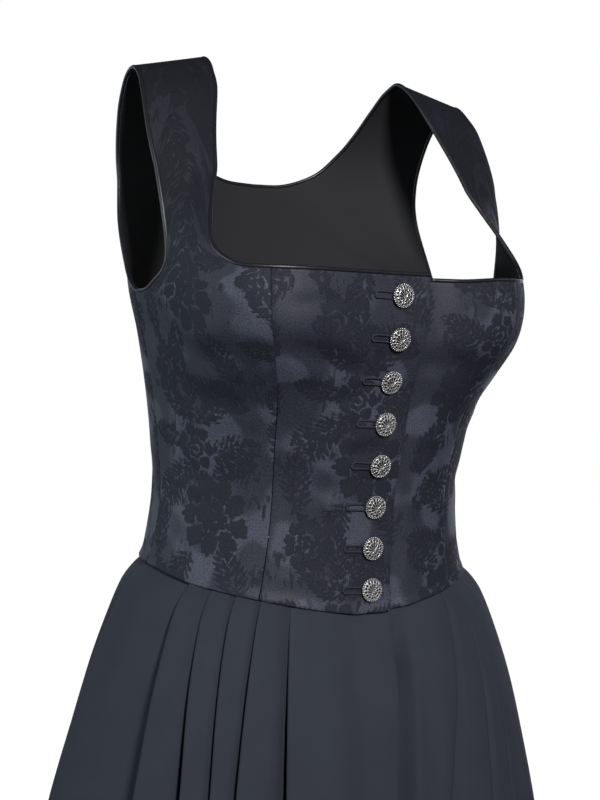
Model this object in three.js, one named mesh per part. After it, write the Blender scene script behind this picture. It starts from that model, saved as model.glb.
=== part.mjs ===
// Dirndl: a pleated skirt sewn to a fitted bodice with a square neck and wide
// shoulder straps, closed at the centre front by eight domed buttons.
// Millimetres, +Z up. The origin lies midway between the tops of the two straps, where the
// wearer's shoulders carry the dress. The front faces -Y and the wearer's left is +X.
// Angles are measured round the body in degrees: 0 at the centre front, 90 at the
// wearer's left side, 180 at the centre back.
import * as THREE from 'three';
import { mergeVertices } from 'three/addons/utils/BufferGeometryUtils.js';

// Cloth and seams
const BODICE_WALL = 2.0;
const SKIRT_WALL = 1.0;
const SEAM_GAP = 0.3;
const WAIST_GAP = 0.4;
// Extra room where curved faces pass each other, for their flat facets
const FACET_ROOM = 0.1;
const PIPING_RADIUS = 1.5;
const PIPING_SIDES = 6;
// How far the direction that a piping's corners start from leans up, against its reach out
const PIPING_LEAN = 60;

// The bodice as worn: half width, front depth, back depth and how square the plan is
const BODY = [
  { z: -455, side: 144, front: 106, back: 108, squareFront: 2.3, squareBack: 2.2 },
  { z: -415, side: 138, front: 106, back: 104, squareFront: 2.3, squareBack: 2.2 },
  { z: -375, side: 129, front: 106, back: 98, squareFront: 2.3, squareBack: 2.2 },
  { z: -335, side: 124, front: 109, back: 94, squareFront: 2.3, squareBack: 2.2 },
  { z: -295, side: 127, front: 117, back: 92, squareFront: 2.35, squareBack: 2.2 },
  { z: -255, side: 132, front: 124, back: 93, squareFront: 2.65, squareBack: 2.2 },
  { z: -215, side: 139, front: 136, back: 95, squareFront: 3.1, squareBack: 2.2 },
  { z: -175, side: 148, front: 139, back: 97, squareFront: 3.1, squareBack: 2.2 },
  { z: -135, side: 148, front: 139, back: 98, squareFront: 2.8, squareBack: 2.2 },
  { z: -95, side: 144, front: 135, back: 97, squareFront: 2.4, squareBack: 2.2 },
];
// The fullness that the princess seams shape on each side of the front
const CUP = { angle: 38, z: -207, out: 17, inward: 14, outward: 21, above: 48, below: 36 };

// Cut lines of the bodice
const PRINCESS_SEAM = [
  { z: -430, angle: 45 },
  { z: -365, angle: 41.5 },
  { z: -305, angle: 39.5 },
  { z: -255, angle: 37.5 },
  { z: -215, angle: 37.5 },
  { z: -171, angle: 38 },
];
const SIDE_SEAM_ANGLE = 92;
const LOWER_EDGE = [
  { angle: 0, z: -423 },
  { angle: 8, z: -423 },
  { angle: 30, z: -416 },
  { angle: 60, z: -404 },
  { angle: 90, z: -393 },
  { angle: 135, z: -391 },
  { angle: 180, z: -391 },
];
const NECK_Z = -171;
const UNDERARM_Z = -185;
const BACK_NECK_Z = -86;
// Front strap: its edge round the neck from the princess seam, and its edge round the arm
const FRONT_NECK_EDGE = [
  { x: 96, y: -128, z: NECK_Z, onBody: true },
  { x: 122, y: -122, z: -170, onBody: true },
  { x: 130, y: -112, z: -165, onBody: true },
  { x: 134, y: -102, z: -157, onBody: true },
  { x: 134, y: -94, z: -146 },
  { x: 126, y: -78, z: -122 },
  { x: 112, y: -55, z: -83 },
  { x: 98, y: -26, z: -34 },
  { x: 94, y: -10, z: -14 },
  { x: 92, y: 2, z: -4 },
  { x: 91, y: 12, z: 0 },
];
const FRONT_ARM_EDGE = [
  { x: 148, y: 5, z: UNDERARM_Z, onBody: true },
  { x: 148, y: -17, z: -184.5, onBody: true },
  { x: 148, y: -35, z: -179, onBody: true },
  { x: 147, y: -51, z: -171, onBody: true },
  { x: 149, y: -57, z: -157 },
  { x: 151, y: -55, z: -128 },
  { x: 153, y: -43, z: -88 },
  { x: 152, y: -21, z: -43 },
  { x: 149, y: -7, z: -25 },
  { x: 148, y: 4, z: -16 },
  { x: 147, y: 13, z: -13 },
];
// Back: its edge round the neck from the centre back, and its edge round the arm
const BACK_NECK_EDGE = [
  { x: 0, y: 97, z: BACK_NECK_Z, onBody: true },
  { x: 30, y: 95, z: -84 },
  { x: 58, y: 90, z: -73 },
  { x: 76, y: 79, z: -54 },
  { x: 84, y: 66, z: -38 },
  { x: 88, y: 50, z: -22 },
  { x: 90, y: 34, z: -9 },
  { x: 91, y: 22, z: -3 },
  { x: 91, y: 12, z: 0 },
];
const BACK_ARM_EDGE = [
  { x: 148, y: 5, z: UNDERARM_Z, onBody: true },
  { x: 146, y: 24, z: -173, onBody: true },
  { x: 144, y: 36, z: -155 },
  { x: 141, y: 54, z: -115 },
  { x: 141, y: 58, z: -78 },
  { x: 144, y: 49, z: -46 },
  { x: 146, y: 35, z: -25 },
  { x: 147, y: 23, z: -16 },
  { x: 147, y: 13, z: -13 },
];
const SHOULDER_NORMAL = new THREE.Vector3(0.22, 0, 0.975).normalize();

// Front closing: the right front laps over the left, and the buttons sit on the centre
const OVERLAP_ANGLE = 7;
const UNDERLAP_ANGLE = -9;
const UNDERLAP_START_ANGLE = OVERLAP_ANGLE + 1.5;
const UNDERLAP_MIDDLE_ANGLE = 11;
const UNDERLAP_RISE_ANGLE = 13;
const BUTTON_COUNT = 8;
const FIRST_BUTTON_Z = -186;
const BUTTON_PITCH = 31.3;
const BUTTON_RADIUS = 9;
const BUTTON_HEIGHT = 4.2;
const BUTTONHOLE = { inner: 3, outer: 24, halfWidth: 3.2, slit: 0.6, thick: 0.8, endBar: 2 };
// A button's outline from its rim to its crown: shares of its radius and of its height
const BUTTON_DOME = [[1, 0.45], [0.95, 0.62], [0.6, 0.89], [0, 1]];
const BUTTON_SHANK = { radius: 1.6, height: 1.3 };
const BUTTON_UNDERSIDE = 0.93;
// Clearance of what lies on the front, whose flat facets stand up to 0.3 mm off its curve
const FRONT_CLEARANCE = 0.6;

// Skirt: how far it stands out beyond the seam at each depth below it
const SKIRT_LENGTH = 680;
const FLARE = [
  { depth: 0, front: 0, side: 0, back: 0 },
  { depth: 8, front: 4, side: 9, back: 6 },
  { depth: 20, front: 9, side: 18, back: 13 },
  { depth: 50, front: 20, side: 31, back: 24 },
  { depth: 90, front: 30, side: 45, back: 39 },
  { depth: 140, front: 37, side: 59, back: 57 },
  { depth: 200, front: 43, side: 74, back: 77 },
  { depth: 320, front: 57, side: 99, back: 109 },
  { depth: 480, front: 76, side: 126, back: 141 },
  { depth: 680, front: 97, side: 154, back: 170 },
];
const ROW_DEPTHS = [0, 8, 24, 50, 90, 140, 200, 280, 380, 490, 590, SKIRT_LENGTH];
// Knife pleats from the centre front to the centre back: the angle of each fold's edge at
// the seam, at the pressed depth and at the hem, and how far the cloth folds back behind it.
// The edges point to the centre back. The two fronts hang differently, as in the photograph.
const PRESSED_DEPTH = 190;
const SIDE_AND_BACK_PLEATS = [
  { top: 96, low: 104, hem: 108, underTop: 17, underHem: 30 },
  { top: 121, low: 123, hem: 125, underTop: 15, underHem: 30 },
  { top: 133, low: 134, hem: 137, underTop: 15, underHem: 30 },
  { top: 145.5, low: 146.5, hem: 149, underTop: 15, underHem: 30 },
  { top: 158, low: 159, hem: 162, underTop: 15, underHem: 30 },
];
const RIGHT_PLEATS = [
  { top: 33, low: 32, hem: 33, underTop: 15, underHem: 30 },
  { top: 43, low: 44.5, hem: 48, underTop: 15, underHem: 30 },
  { top: 51.3, low: 50, hem: 58, underTop: 14, underHem: 30 },
  { top: 59.5, low: 56, hem: 68, underTop: 13, underHem: 30 },
  { top: 67.5, low: 67.5, hem: 82, underTop: 15, underHem: 30 },
  ...SIDE_AND_BACK_PLEATS,
];
const LEFT_PLEATS = [
  { top: 38, low: 21, hem: 24, underTop: 15, underHem: 30 },
  { top: 44.5, low: 36.5, hem: 40, underTop: 15, underHem: 30 },
  { top: 53, low: 44, hem: 52, underTop: 14, underHem: 30 },
  { top: 60.5, low: 55, hem: 66, underTop: 13, underHem: 30 },
  { top: 68, low: 69, hem: 82, underTop: 15, underHem: 30 },
  ...SIDE_AND_BACK_PLEATS,
];
// The cloth behind a fold's edge stops this far short of the edge before it
const PLEAT_ROOM = 1;
// Where the cloth's line is divided: across each pleat's face, and from the last fold back
const FACE_SHARES = [0, 0.3, 0.7];
const CENTRE_BACK_SHARES = [0, 0.35, 0.7, 1];
const LAYER_STEP = [
  { depth: 0, step: 1.35 },
  { depth: 50, step: 2.4 },
  { depth: 200, step: 4.6 },
  { depth: 400, step: 6.4 },
  { depth: SKIRT_LENGTH, step: 8 },
];
const FACE_CROWN = 0.35;
const SKIRT_INSET = 1;
// The least cosine of half a turn that the skirt's wall is mitred by
const MITRE_LIMIT = 0.6;
const SKIRT_EDGE = [
  { depth: 0, angle: 7 },
  { depth: 200, angle: 3.5 },
  { depth: SKIRT_LENGTH, angle: 3 },
];
const SKIRT_UNDERLAP = 16;
const SKIRT_SEAM_ANGLE = 106;
const SEAM_PLEAT = 6;
const KEYS_IN_PLEAT = FACE_SHARES.length + 3;
const SEAM_KEY = SEAM_PLEAT * KEYS_IN_PLEAT + 2;
const STACKED_LAYERS = 3;
const FRONT_LEVEL = 2.2;
// The fronts' plain cloth: how far it runs past the centre before its first pleat's face,
// and where the left front's rises from under the right front's edge
const PLAIN_FRONT_ANGLE = 9;
const UNDER_FRONT = { rise: 2, level: 7 };

// How finely the panels and small pieces are divided
const PANEL_COLUMNS = 9;
const SEAM_ROWS = 14;
const STRAP_ROWS = 14;
const UNDERARM_DIP = 14;
const PIPING_STEP = 7;
const BUTTON_SEGMENTS = 16;

// Colours, from the photograph
const JACQUARD = { color: 0x44444f, roughness: 0.55, metalness: 0 };
const TWILL = { color: 0x2c3036, roughness: 0.9, metalness: 0 };
const SATIN = { color: 0x17181c, roughness: 0.45, metalness: 0 };
const SILVER = { color: 0xb9b7b0, roughness: 0.35, metalness: 0.9 };

const radians = THREE.MathUtils.degToRad;
const { lerp, clamp, smoothstep } = THREE.MathUtils;

/** Reads a column of a table at any value of another, along a smooth curve. */
function lookUp(table, by, column, at) {
  const sign = table[0][by] < table[table.length - 1][by] ? 1 : -1;
  const last = table.length - 1;
  const value = clamp(at * sign, table[0][by] * sign, table[last][by] * sign) * sign;
  let i = 0;
  while (i < last - 1 && value * sign > table[i + 1][by] * sign) i += 1;
  const slope = (k) => {
    const a = Math.max(k - 1, 0);
    const b = Math.min(k + 1, last);
    return (table[b][column] - table[a][column]) / (table[b][by] - table[a][by]);
  };
  const width = table[i + 1][by] - table[i][by];
  const u = (value - table[i][by]) / width;
  const start = table[i][column];
  const end = table[i + 1][column];
  return start * (2 * u ** 3 - 3 * u * u + 1) + end * (3 * u * u - 2 * u ** 3)
    + width * (slope(i) * (u ** 3 - 2 * u * u + u) + slope(i + 1) * (u ** 3 - u * u));
}

/** The bodice's outer radius at an angle and a height. */
function bodyRadius(angle, z) {
  const a = radians(angle);
  const isFront = Math.cos(a) > 0;
  const power = lookUp(BODY, 'z', isFront ? 'squareFront' : 'squareBack', z);
  const depth = lookUp(BODY, 'z', isFront ? 'front' : 'back', z);
  const side = lookUp(BODY, 'z', 'side', z);
  const across = (Math.abs(Math.sin(a)) / side) ** power;
  const along = (Math.abs(Math.cos(a)) / depth) ** power;
  const plan = (across + along) ** (-1 / power);
  const beyond = Math.abs(angle) - CUP.angle;
  const turned = beyond / (beyond > 0 ? CUP.outward : CUP.inward);
  const raised = (z - CUP.z) / (z > CUP.z ? CUP.above : CUP.below);
  return plan + CUP.out * Math.exp(-0.5 * (turned ** 2 + raised ** 2));
}

/** A point from an angle, a radius and a height. */
function polar(angle, radius, z) {
  const a = radians(angle);
  return new THREE.Vector3(radius * Math.sin(a), -radius * Math.cos(a), z);
}

/** A path's rows with angle, height and distance outside the bodice's form. */
function pathRows(edge) {
  return edge.map(({ x, y, z, onBody }, index) => {
    const angle = THREE.MathUtils.radToDeg(Math.atan2(x, -y));
    return { index, angle, z, out: onBody ? 0 : Math.hypot(x, y) - bodyRadius(angle, z) };
  });
}

/** A row of a path at a fraction of its length in keys. */
function alongPath(rows, fraction) {
  const at = fraction * (rows.length - 1);
  return {
    angle: lookUp(rows, 'index', 'angle', at),
    z: lookUp(rows, 'index', 'z', at),
    out: lookUp(rows, 'index', 'out', at),
  };
}

/** A closed solid from grids of matching outer and inner points, joined where they meet. */
function wallFromGrids(grids) {
  const positions = [];
  const skins = [];
  const inners = [];
  for (const { outer, inner } of grids) {
    for (let i = 0; i + 1 < outer.length; i += 1) {
      for (let j = 0; j + 1 < outer[i].length; j += 1) {
        const corners = [[i, j], [i, j + 1], [i + 1, j + 1], [i + 1, j]];
        skins.push(corners.map(([a, b]) => outer[a][b]));
        inners.push(corners.map(([a, b]) => inner[a][b]));
      }
    }
  }
  const triangle = (...points) => points.forEach((p) => positions.push(p.x, p.y, p.z));
  const keyOf = (p) => p.toArray().map((value) => Math.round(value * 1000)).join();
  const edges = new Map();
  skins.forEach((skin, q) => {
    const inner = inners[q];
    triangle(skin[0], skin[1], skin[2]);
    triangle(skin[0], skin[2], skin[3]);
    triangle(inner[0], inner[2], inner[1]);
    triangle(inner[0], inner[3], inner[2]);
    for (let k = 0; k < 4; k += 1) {
      const next = (k + 1) % 4;
      const key = [keyOf(skin[k]), keyOf(skin[next])].sort().join('|');
      if (edges.has(key)) edges.delete(key);
      else edges.set(key, [skin[k], skin[next], inner[next], inner[k]]);
    }
  });
  for (const [a, b, c, d] of edges.values()) {
    triangle(a, d, c);
    triangle(a, c, b);
  }
  const geometry = new THREE.BufferGeometry();
  geometry.setAttribute('position', new THREE.Float32BufferAttribute(positions, 3));
  return mergeVertices(geometry, 1e-3);
}

/** Reflects grids to the wearer's other side, keeping their faces outward. */
function mirrored(grids) {
  const flip = (grid) => grid.map((row) => row.map((p) => new THREE.Vector3(-p.x, p.y, p.z)).reverse());
  return grids.map(({ outer, inner }) => ({ outer: flip(outer), inner: flip(inner) }));
}

/** The inner points of a grid, moved in radially, or along its own normal on the strap. */
function thickened(outer, firstStrapRow) {
  const last = outer.length - 1;
  const inner = outer.map((row, i) => row.map((p, j) => {
    const inward = new THREE.Vector3(-p.x, -p.y, 0).normalize();
    const onStrap = clamp((i - firstStrapRow) / 4, 0, 1);
    if (onStrap > 0) {
      const along = outer[Math.min(i + 1, last)][j].clone().sub(outer[i - 1][j]);
      const across = row[Math.min(j + 1, row.length - 1)].clone().sub(row[Math.max(j - 1, 0)]);
      const normal = across.cross(along).normalize();
      normal.lerp(SHOULDER_NORMAL, smoothstep(i, last - 4, last)).normalize();
      inward.lerp(normal.negate(), onStrap).normalize();
    }
    return p.clone().addScaledVector(inward, BODICE_WALL);
  }));
  return { outer, inner };
}

/** Turns an angle by a distance measured round the bodice. */
function turnedBy(angle, z, distance) {
  return angle + THREE.MathUtils.radToDeg(distance / bodyRadius(angle, z));
}

/** A row of the princess seam, kept clear of the seam on the centre or the side panel. */
function princessRow(fraction, side) {
  const z = lerp(lookUp(LOWER_EDGE, 'angle', 'z', PRINCESS_SEAM[0].angle), NECK_Z, fraction);
  const angle = lookUp(PRINCESS_SEAM, 'z', 'angle', z);
  return { angle: turnedBy(angle, z, (side * SEAM_GAP) / 2), z, out: 0 };
}

/** A centre front from the angles at its free edge to its princess seam, on the wearer's left. */
function centreFrontGrid(leadAngles, sink) {
  const lastLead = leadAngles[leadAngles.length - 1];
  const outer = [];
  for (let i = 0; i <= SEAM_ROWS; i += 1) {
    const seam = princessRow(i / SEAM_ROWS, -1).angle;
    const angles = [...leadAngles];
    for (let j = 1; j <= PANEL_COLUMNS; j += 1) angles.push(lerp(lastLead, seam, j / PANEL_COLUMNS));
    outer.push(angles.map((angle) => {
      const z = lerp(lookUp(LOWER_EDGE, 'angle', 'z', Math.abs(angle)), NECK_Z, i / SEAM_ROWS);
      return polar(angle, bodyRadius(angle, z) - sink(angle), z);
    }));
  }
  return thickened(outer, SEAM_ROWS + 1);
}

/** A row of the side seam, kept clear of the seam on the front or the back. */
function sideSeamRow(fraction, side) {
  const z = lerp(lookUp(LOWER_EDGE, 'angle', 'z', SIDE_SEAM_ANGLE), UNDERARM_Z, fraction);
  return { angle: turnedBy(SIDE_SEAM_ANGLE, z, (side * SEAM_GAP) / 2), z, out: 0 };
}

/** A row of the line down the centre back, where both halves of the back meet in one. */
function centreBackRow(fraction) {
  return { angle: 180, z: lerp(LOWER_EDGE[LOWER_EDGE.length - 1].z, BACK_NECK_Z, fraction), out: 0 };
}

/** A panel between two cut lines, each a seam first and then an edge of the strap. */
function sidePanelGrid({ seam, neckEdge, armEdge, dip, isBack }) {
  const neckPath = pathRows(neckEdge);
  const armPath = pathRows(armEdge);
  const outer = [];
  for (let i = 0; i <= SEAM_ROWS + STRAP_ROWS; i += 1) {
    const isSeam = i <= SEAM_ROWS;
    const fraction = isSeam ? i / SEAM_ROWS : (i - SEAM_ROWS) / STRAP_ROWS;
    const start = isSeam ? seam(fraction) : alongPath(neckPath, fraction);
    const end = isSeam ? sideSeamRow(fraction, isBack ? 1 : -1) : alongPath(armPath, fraction);
    const fade = isSeam ? fraction ** 2 : Math.max(0, 1 - 5 * fraction);
    const row = [];
    for (let j = 0; j <= PANEL_COLUMNS; j += 1) {
      const s = j / PANEL_COLUMNS;
      const angle = lerp(start.angle, end.angle, s);
      const level = isSeam
        ? lerp(lookUp(LOWER_EDGE, 'angle', 'z', angle), lerp(seam(1).z, UNDERARM_Z, s), fraction)
        : lerp(start.z, end.z, s);
      const z = level - dip * fade * Math.sin(Math.PI * s);
      row.push(polar(angle, bodyRadius(angle, z) + lerp(start.out, end.out, s), z));
    }
    outer.push(isBack ? row.reverse() : row);
  }
  for (const p of outer[outer.length - 1]) p.y += (isBack ? SEAM_GAP : -SEAM_GAP) / 2;
  return thickened(outer, SEAM_ROWS);
}

/** How far the left front drops behind the right one near the centre front. */
function underlapSink(angle) {
  const risen = smoothstep(angle, UNDERLAP_START_ANGLE, UNDERLAP_RISE_ANGLE);
  return (BODICE_WALL + SEAM_GAP + FACET_ROOM) * (1 - risen);
}

/** A solid from a geometry's triangles, with its shared corners joined and slivers dropped. */
function welded(geometry) {
  geometry.deleteAttribute('normal');
  geometry.deleteAttribute('uv');
  const joined = mergeVertices(geometry, 1e-3);
  const kept = [];
  for (let i = 0; i < joined.index.count; i += 3) {
    const [a, b, c] = [0, 1, 2].map((k) => joined.index.getX(i + k));
    if (a !== b && b !== c && c !== a) kept.push(a, b, c);
  }
  joined.setIndex(kept);
  return joined;
}

/** A closed tube of even radius along a list of points. */
function tube(points, radius, isLoop) {
  const count = points.length;
  const rings = points.map((p, i) => {
    const before = isLoop ? points[(i + count - 1) % count] : points[Math.max(i - 1, 0)];
    const after = isLoop ? points[(i + 1) % count] : points[Math.min(i + 1, count - 1)];
    const tangent = after.clone().sub(before).normalize();
    const side = tangent.clone().cross(new THREE.Vector3(p.x, p.y, PIPING_LEAN).normalize()).normalize();
    const up = side.clone().cross(tangent).normalize();
    return Array.from({ length: PIPING_SIDES }, (_, k) => {
      const a = (2 * Math.PI * k) / PIPING_SIDES;
      return p.clone().addScaledVector(side, radius * Math.cos(a)).addScaledVector(up, radius * Math.sin(a));
    });
  });
  const positions = [];
  const triangle = (...corners) => corners.forEach((p) => positions.push(p.x, p.y, p.z));
  for (let i = 0; i < (isLoop ? count : count - 1); i += 1) {
    const a = rings[i];
    const b = rings[(i + 1) % count];
    for (let k = 0; k < PIPING_SIDES; k += 1) {
      const next = (k + 1) % PIPING_SIDES;
      triangle(a[k], b[next], a[next]);
      triangle(a[k], b[k], b[next]);
    }
  }
  if (!isLoop) {
    const first = rings[0];
    const end = rings[count - 1];
    for (let k = 1; k + 1 < PIPING_SIDES; k += 1) {
      triangle(first[0], first[k], first[k + 1]);
      triangle(end[0], end[k + 1], end[k]);
    }
  }
  const geometry = new THREE.BufferGeometry();
  geometry.setAttribute('position', new THREE.Float32BufferAttribute(positions, 3));
  return welded(geometry);
}

/** The middle line of a piping that lies against a cut edge, on the open side of it. */
function besideEdge(edge, openSide) {
  return edge.map(({ outer, inner }, i) => {
    const before = edge[Math.max(i - 1, 0)].outer;
    const after = edge[Math.min(i + 1, edge.length - 1)].outer;
    const tangent = after.clone().sub(before).normalize();
    const away = outer.clone().sub(inner).cross(tangent).normalize().multiplyScalar(openSide);
    return outer.clone().lerp(inner, 0.5).addScaledVector(away, PIPING_RADIUS + SEAM_GAP + FACET_ROOM);
  });
}

/** Thins a list of points to a least spacing, keeping both ends. */
function spaced(points, spacing) {
  const end = points[points.length - 1];
  const kept = [points[0]];
  for (const p of points.slice(1, -1)) {
    const clear = Math.min(p.distanceTo(kept[kept.length - 1]), p.distanceTo(end));
    if (clear >= spacing) kept.push(p);
  }
  return [...kept, end];
}

/** The edge points in one column of a grid between two rows. */
function columnOf({ outer, inner }, column, from, to) {
  const points = [];
  const step = Math.sign(to - from);
  for (let i = from; i !== to + step; i += step) {
    points.push({ outer: outer[i][column], inner: inner[i][column] });
  }
  return points;
}

const reflect = (p) => new THREE.Vector3(-p.x, p.y, p.z);

/** The neckline of one half, from the centre front over the shoulder to the centre back. */
function neckHalf(centre, firstColumn) {
  const top = centre.outer.length - 1;
  const line = centre.outer[top].slice(firstColumn).map((outer, j) => (
    { outer, inner: centre.inner[top][firstColumn + j] }));
  line.push(...columnOf(FRONT_SIDE, 0, SEAM_ROWS + 1, SEAM_ROWS + STRAP_ROWS));
  line.push(...columnOf(BACK_HALF, PANEL_COLUMNS, SEAM_ROWS + STRAP_ROWS - 1, SEAM_ROWS));
  return spaced(besideEdge(line, 1), PIPING_STEP);
}

/** The edge round one arm, from the side seam forward, over the shoulder and back. */
function armLoop() {
  const top = SEAM_ROWS + STRAP_ROWS;
  const line = [
    ...columnOf(FRONT_SIDE, PANEL_COLUMNS, SEAM_ROWS, top),
    ...columnOf(BACK_HALF, 0, top - 1, SEAM_ROWS + 1),
  ];
  const ring = spaced(besideEdge(line, -1), PIPING_STEP);
  return ring;
}

/** The skirt's radius below its pleats' folds. */
function skirtRadius(angle, depth) {
  const turn = Math.abs(angle);
  const z = lookUp(LOWER_EDGE, 'angle', 'z', turn);
  const facing = turn < 90 ? 'front' : 'back';
  const sideways = Math.sin(radians(turn)) ** 2;
  const flare = lerp(lookUp(FLARE, 'depth', facing, depth), lookUp(FLARE, 'depth', 'side', depth), sideways);
  const step = lookUp(LAYER_STEP, 'depth', 'step', depth);
  return bodyRadius(turn, z) - SKIRT_INSET + flare - STACKED_LAYERS * step;
}

/** The height of the skirt's cloth at an angle and a depth: level at the hem. */
function skirtZ(angle, depth) {
  const top = lookUp(LOWER_EDGE, 'angle', 'z', Math.abs(angle)) - WAIST_GAP;
  const hem = LOWER_EDGE[LOWER_EDGE.length - 1].z - SKIRT_LENGTH;
  return lerp(top, hem, depth / SKIRT_LENGTH);
}

/** The angle of a pleat's edge at a depth. */
function pleatEdge(pleat, depth) {
  return lookUp([
    { depth: 0, angle: pleat.top },
    { depth: PRESSED_DEPTH, angle: pleat.low },
    { depth: SKIRT_LENGTH, angle: pleat.hem },
  ], 'depth', 'angle', depth);
}

/** One side's cloth line at a depth, from the keys before its first pleat to the back. */
function pleatLine(depth, lead, pleats) {
  const step = lookUp(LAYER_STEP, 'depth', 'step', depth);
  const line = lead.slice(0, -1);
  let start = lead[lead.length - 1];
  let previous = start.angle;
  pleats.forEach((pleat, index) => {
    const edge = pleatEdge(pleat, depth);
    const radius = skirtRadius(edge, depth);
    const room = radians(edge - previous) * radius - PLEAT_ROOM;
    const under = Math.min(room, lerp(pleat.underTop, pleat.underHem, Math.sqrt(depth / SKIRT_LENGTH)));
    const fold = edge - THREE.MathUtils.radToDeg(under / radius);
    const clear = (fold - start.angle) / (edge - start.angle);
    const rise = Math.max((2 * step - start.height * (1 - clear)) / clear, start.height);
    const seam = (SKIRT_SEAM_ANGLE - start.angle) / (edge - start.angle);
    const shares = index === SEAM_PLEAT ? [0, seam / 2, seam, (1 + seam) / 2] : FACE_SHARES;
    for (const s of shares) {
      const crown = FACE_CROWN * step * Math.sin(Math.PI * s);
      line.push({ angle: lerp(start.angle, edge, s), height: lerp(start.height, rise, s) + crown });
    }
    line.push({ angle: edge, height: rise }, { angle: edge, height: rise - step });
    line.push({ angle: fold, height: step });
    start = { angle: fold, height: 0 };
    previous = edge;
  });
  for (const s of CENTRE_BACK_SHARES) {
    const height = FRONT_LEVEL * step * smoothstep(s, 0, 0.7);
    line.push({ angle: lerp(start.angle, 180, s), height });
  }
  return line;
}

/** The outer and inner face of the cloth along a line, half a wall to each side of it. */
function facesOfLine(line, depth) {
  const normalOf = (a, b, radius) => (
    new THREE.Vector2(a.height - b.height, radians(b.angle - a.angle) * radius).normalize());
  const point = (i, side) => {
    const here = line[i];
    const radius = skirtRadius(here.angle, depth);
    const before = normalOf(line[Math.max(i - 1, 0)], line[Math.max(i, 1)], radius);
    const nextEnd = Math.min(i + 1, line.length - 1);
    const after = normalOf(line[nextEnd - 1], line[nextEnd], radius);
    const middle = before.clone().add(after).normalize();
    const reach = (side * SKIRT_WALL) / 2 / Math.max(middle.dot(before), MITRE_LIMIT);
    const isBack = here.angle === 180;
    const turn = isBack ? 0 : THREE.MathUtils.radToDeg((middle.x * reach) / radius);
    return polar(here.angle + turn, radius + here.height + middle.y * reach, skirtZ(here.angle, depth));
  };
  return { outer: line.map((_, i) => point(i, 1)), inner: line.map((_, i) => point(i, -1)) };
}

/** A stretch of the skirt from the hem up, from the cloth line of each of its rows. */
function skirtGrid(lineAt) {
  const rows = [...ROW_DEPTHS].reverse().map((depth) => facesOfLine(lineAt(depth), depth));
  return { outer: rows.map((row) => row.outer), inner: rows.map((row) => row.inner) };
}

/** The front's free edge and the pleats as far as the side seam. */
function frontSkirtLine(depth, isUnder) {
  const step = lookUp(LAYER_STEP, 'depth', 'step', depth);
  const edge = lookUp(SKIRT_EDGE, 'depth', 'angle', depth);
  const level = FRONT_LEVEL * step;
  const tucked = THREE.MathUtils.radToDeg(SKIRT_UNDERLAP / skirtRadius(0, depth));
  const lead = isUnder
    ? [
      { angle: edge - tucked, height: level - step },
      { angle: edge + UNDER_FRONT.rise, height: level - step },
      { angle: edge + UNDER_FRONT.level, height: level },
    ]
    : [-edge, 0, PLAIN_FRONT_ANGLE].map((angle) => ({ angle, height: level }));
  const pleats = isUnder ? LEFT_PLEATS : RIGHT_PLEATS;
  const line = pleatLine(depth, lead, pleats).slice(0, lead.length + SEAM_KEY);
  const seam = line[line.length - 1];
  const half = THREE.MathUtils.radToDeg(SEAM_GAP / 2 / skirtRadius(seam.angle, depth));
  return [...line.slice(0, -1), { ...seam, angle: seam.angle - half }];
}

/** The pleats from the side seam to the centre back. */
function backSkirtLine(depth) {
  const line = pleatLine(depth, [{ angle: 0, height: 0 }], RIGHT_PLEATS).slice(SEAM_KEY);
  const half = THREE.MathUtils.radToDeg(SEAM_GAP / 2 / skirtRadius(line[0].angle, depth));
  return [{ ...line[0], angle: line[0].angle + half }, ...line.slice(1)];
}

/** A point on the front's outer face, a distance to the wearer's left and a height out. */
function onFront(x, z, out) {
  const angle = THREE.MathUtils.radToDeg(x / bodyRadius(0, z));
  return polar(angle, bodyRadius(angle, z) + out, z);
}

/** The two bound lips round one buttonhole, which runs to the wearer's right. */
function buttonholeSolid(z) {
  const { inner, outer, halfWidth, slit, thick, endBar } = BUTTONHOLE;
  const middle = -(inner + outer) / 2;
  const loop = (halfLength, half, out) => {
    const corner = half * 0.5;
    const upper = [[halfLength - corner, half], [halfLength, half - corner]];
    const lower = [...upper].reverse().map(([a, b]) => [a, -b]);
    const end = [...upper, ...lower];
    const around = [...end, ...end.map(([a, b]) => [-a, -b])];
    return [...around, around[0]].map(([a, b]) => onFront(middle + a, z + b, out));
  };
  const half = (outer - inner) / 2;
  const rows = (out) => [loop(half - endBar, slit, out), loop(half, halfWidth, out)];
  return wallFromGrids([{ outer: rows(FRONT_CLEARANCE + thick), inner: rows(FRONT_CLEARANCE) }]);
}

/** A domed button with a rim and a short shank, standing out from the front. */
function buttonSolid() {
  const { radius, height } = BUTTON_SHANK;
  const foot = [[0, 0], [radius, 0], [radius, height], [BUTTON_UNDERSIDE * BUTTON_RADIUS, height]];
  const dome = BUTTON_DOME.map(([across, up]) => [across * BUTTON_RADIUS, up * BUTTON_HEIGHT]);
  const points = [...foot, ...dome].map(([x, y]) => new THREE.Vector2(x, y));
  return welded(new THREE.LatheGeometry(points, BUTTON_SEGMENTS));
}

const dirndl = new THREE.Group();

/** Adds one named piece to the dress and returns it. */
function addPiece(name, geometry, finish) {
  const mesh = new THREE.Mesh(geometry, new THREE.MeshStandardMaterial(finish));
  mesh.name = name;
  dirndl.add(mesh);
  return mesh;
}

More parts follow.
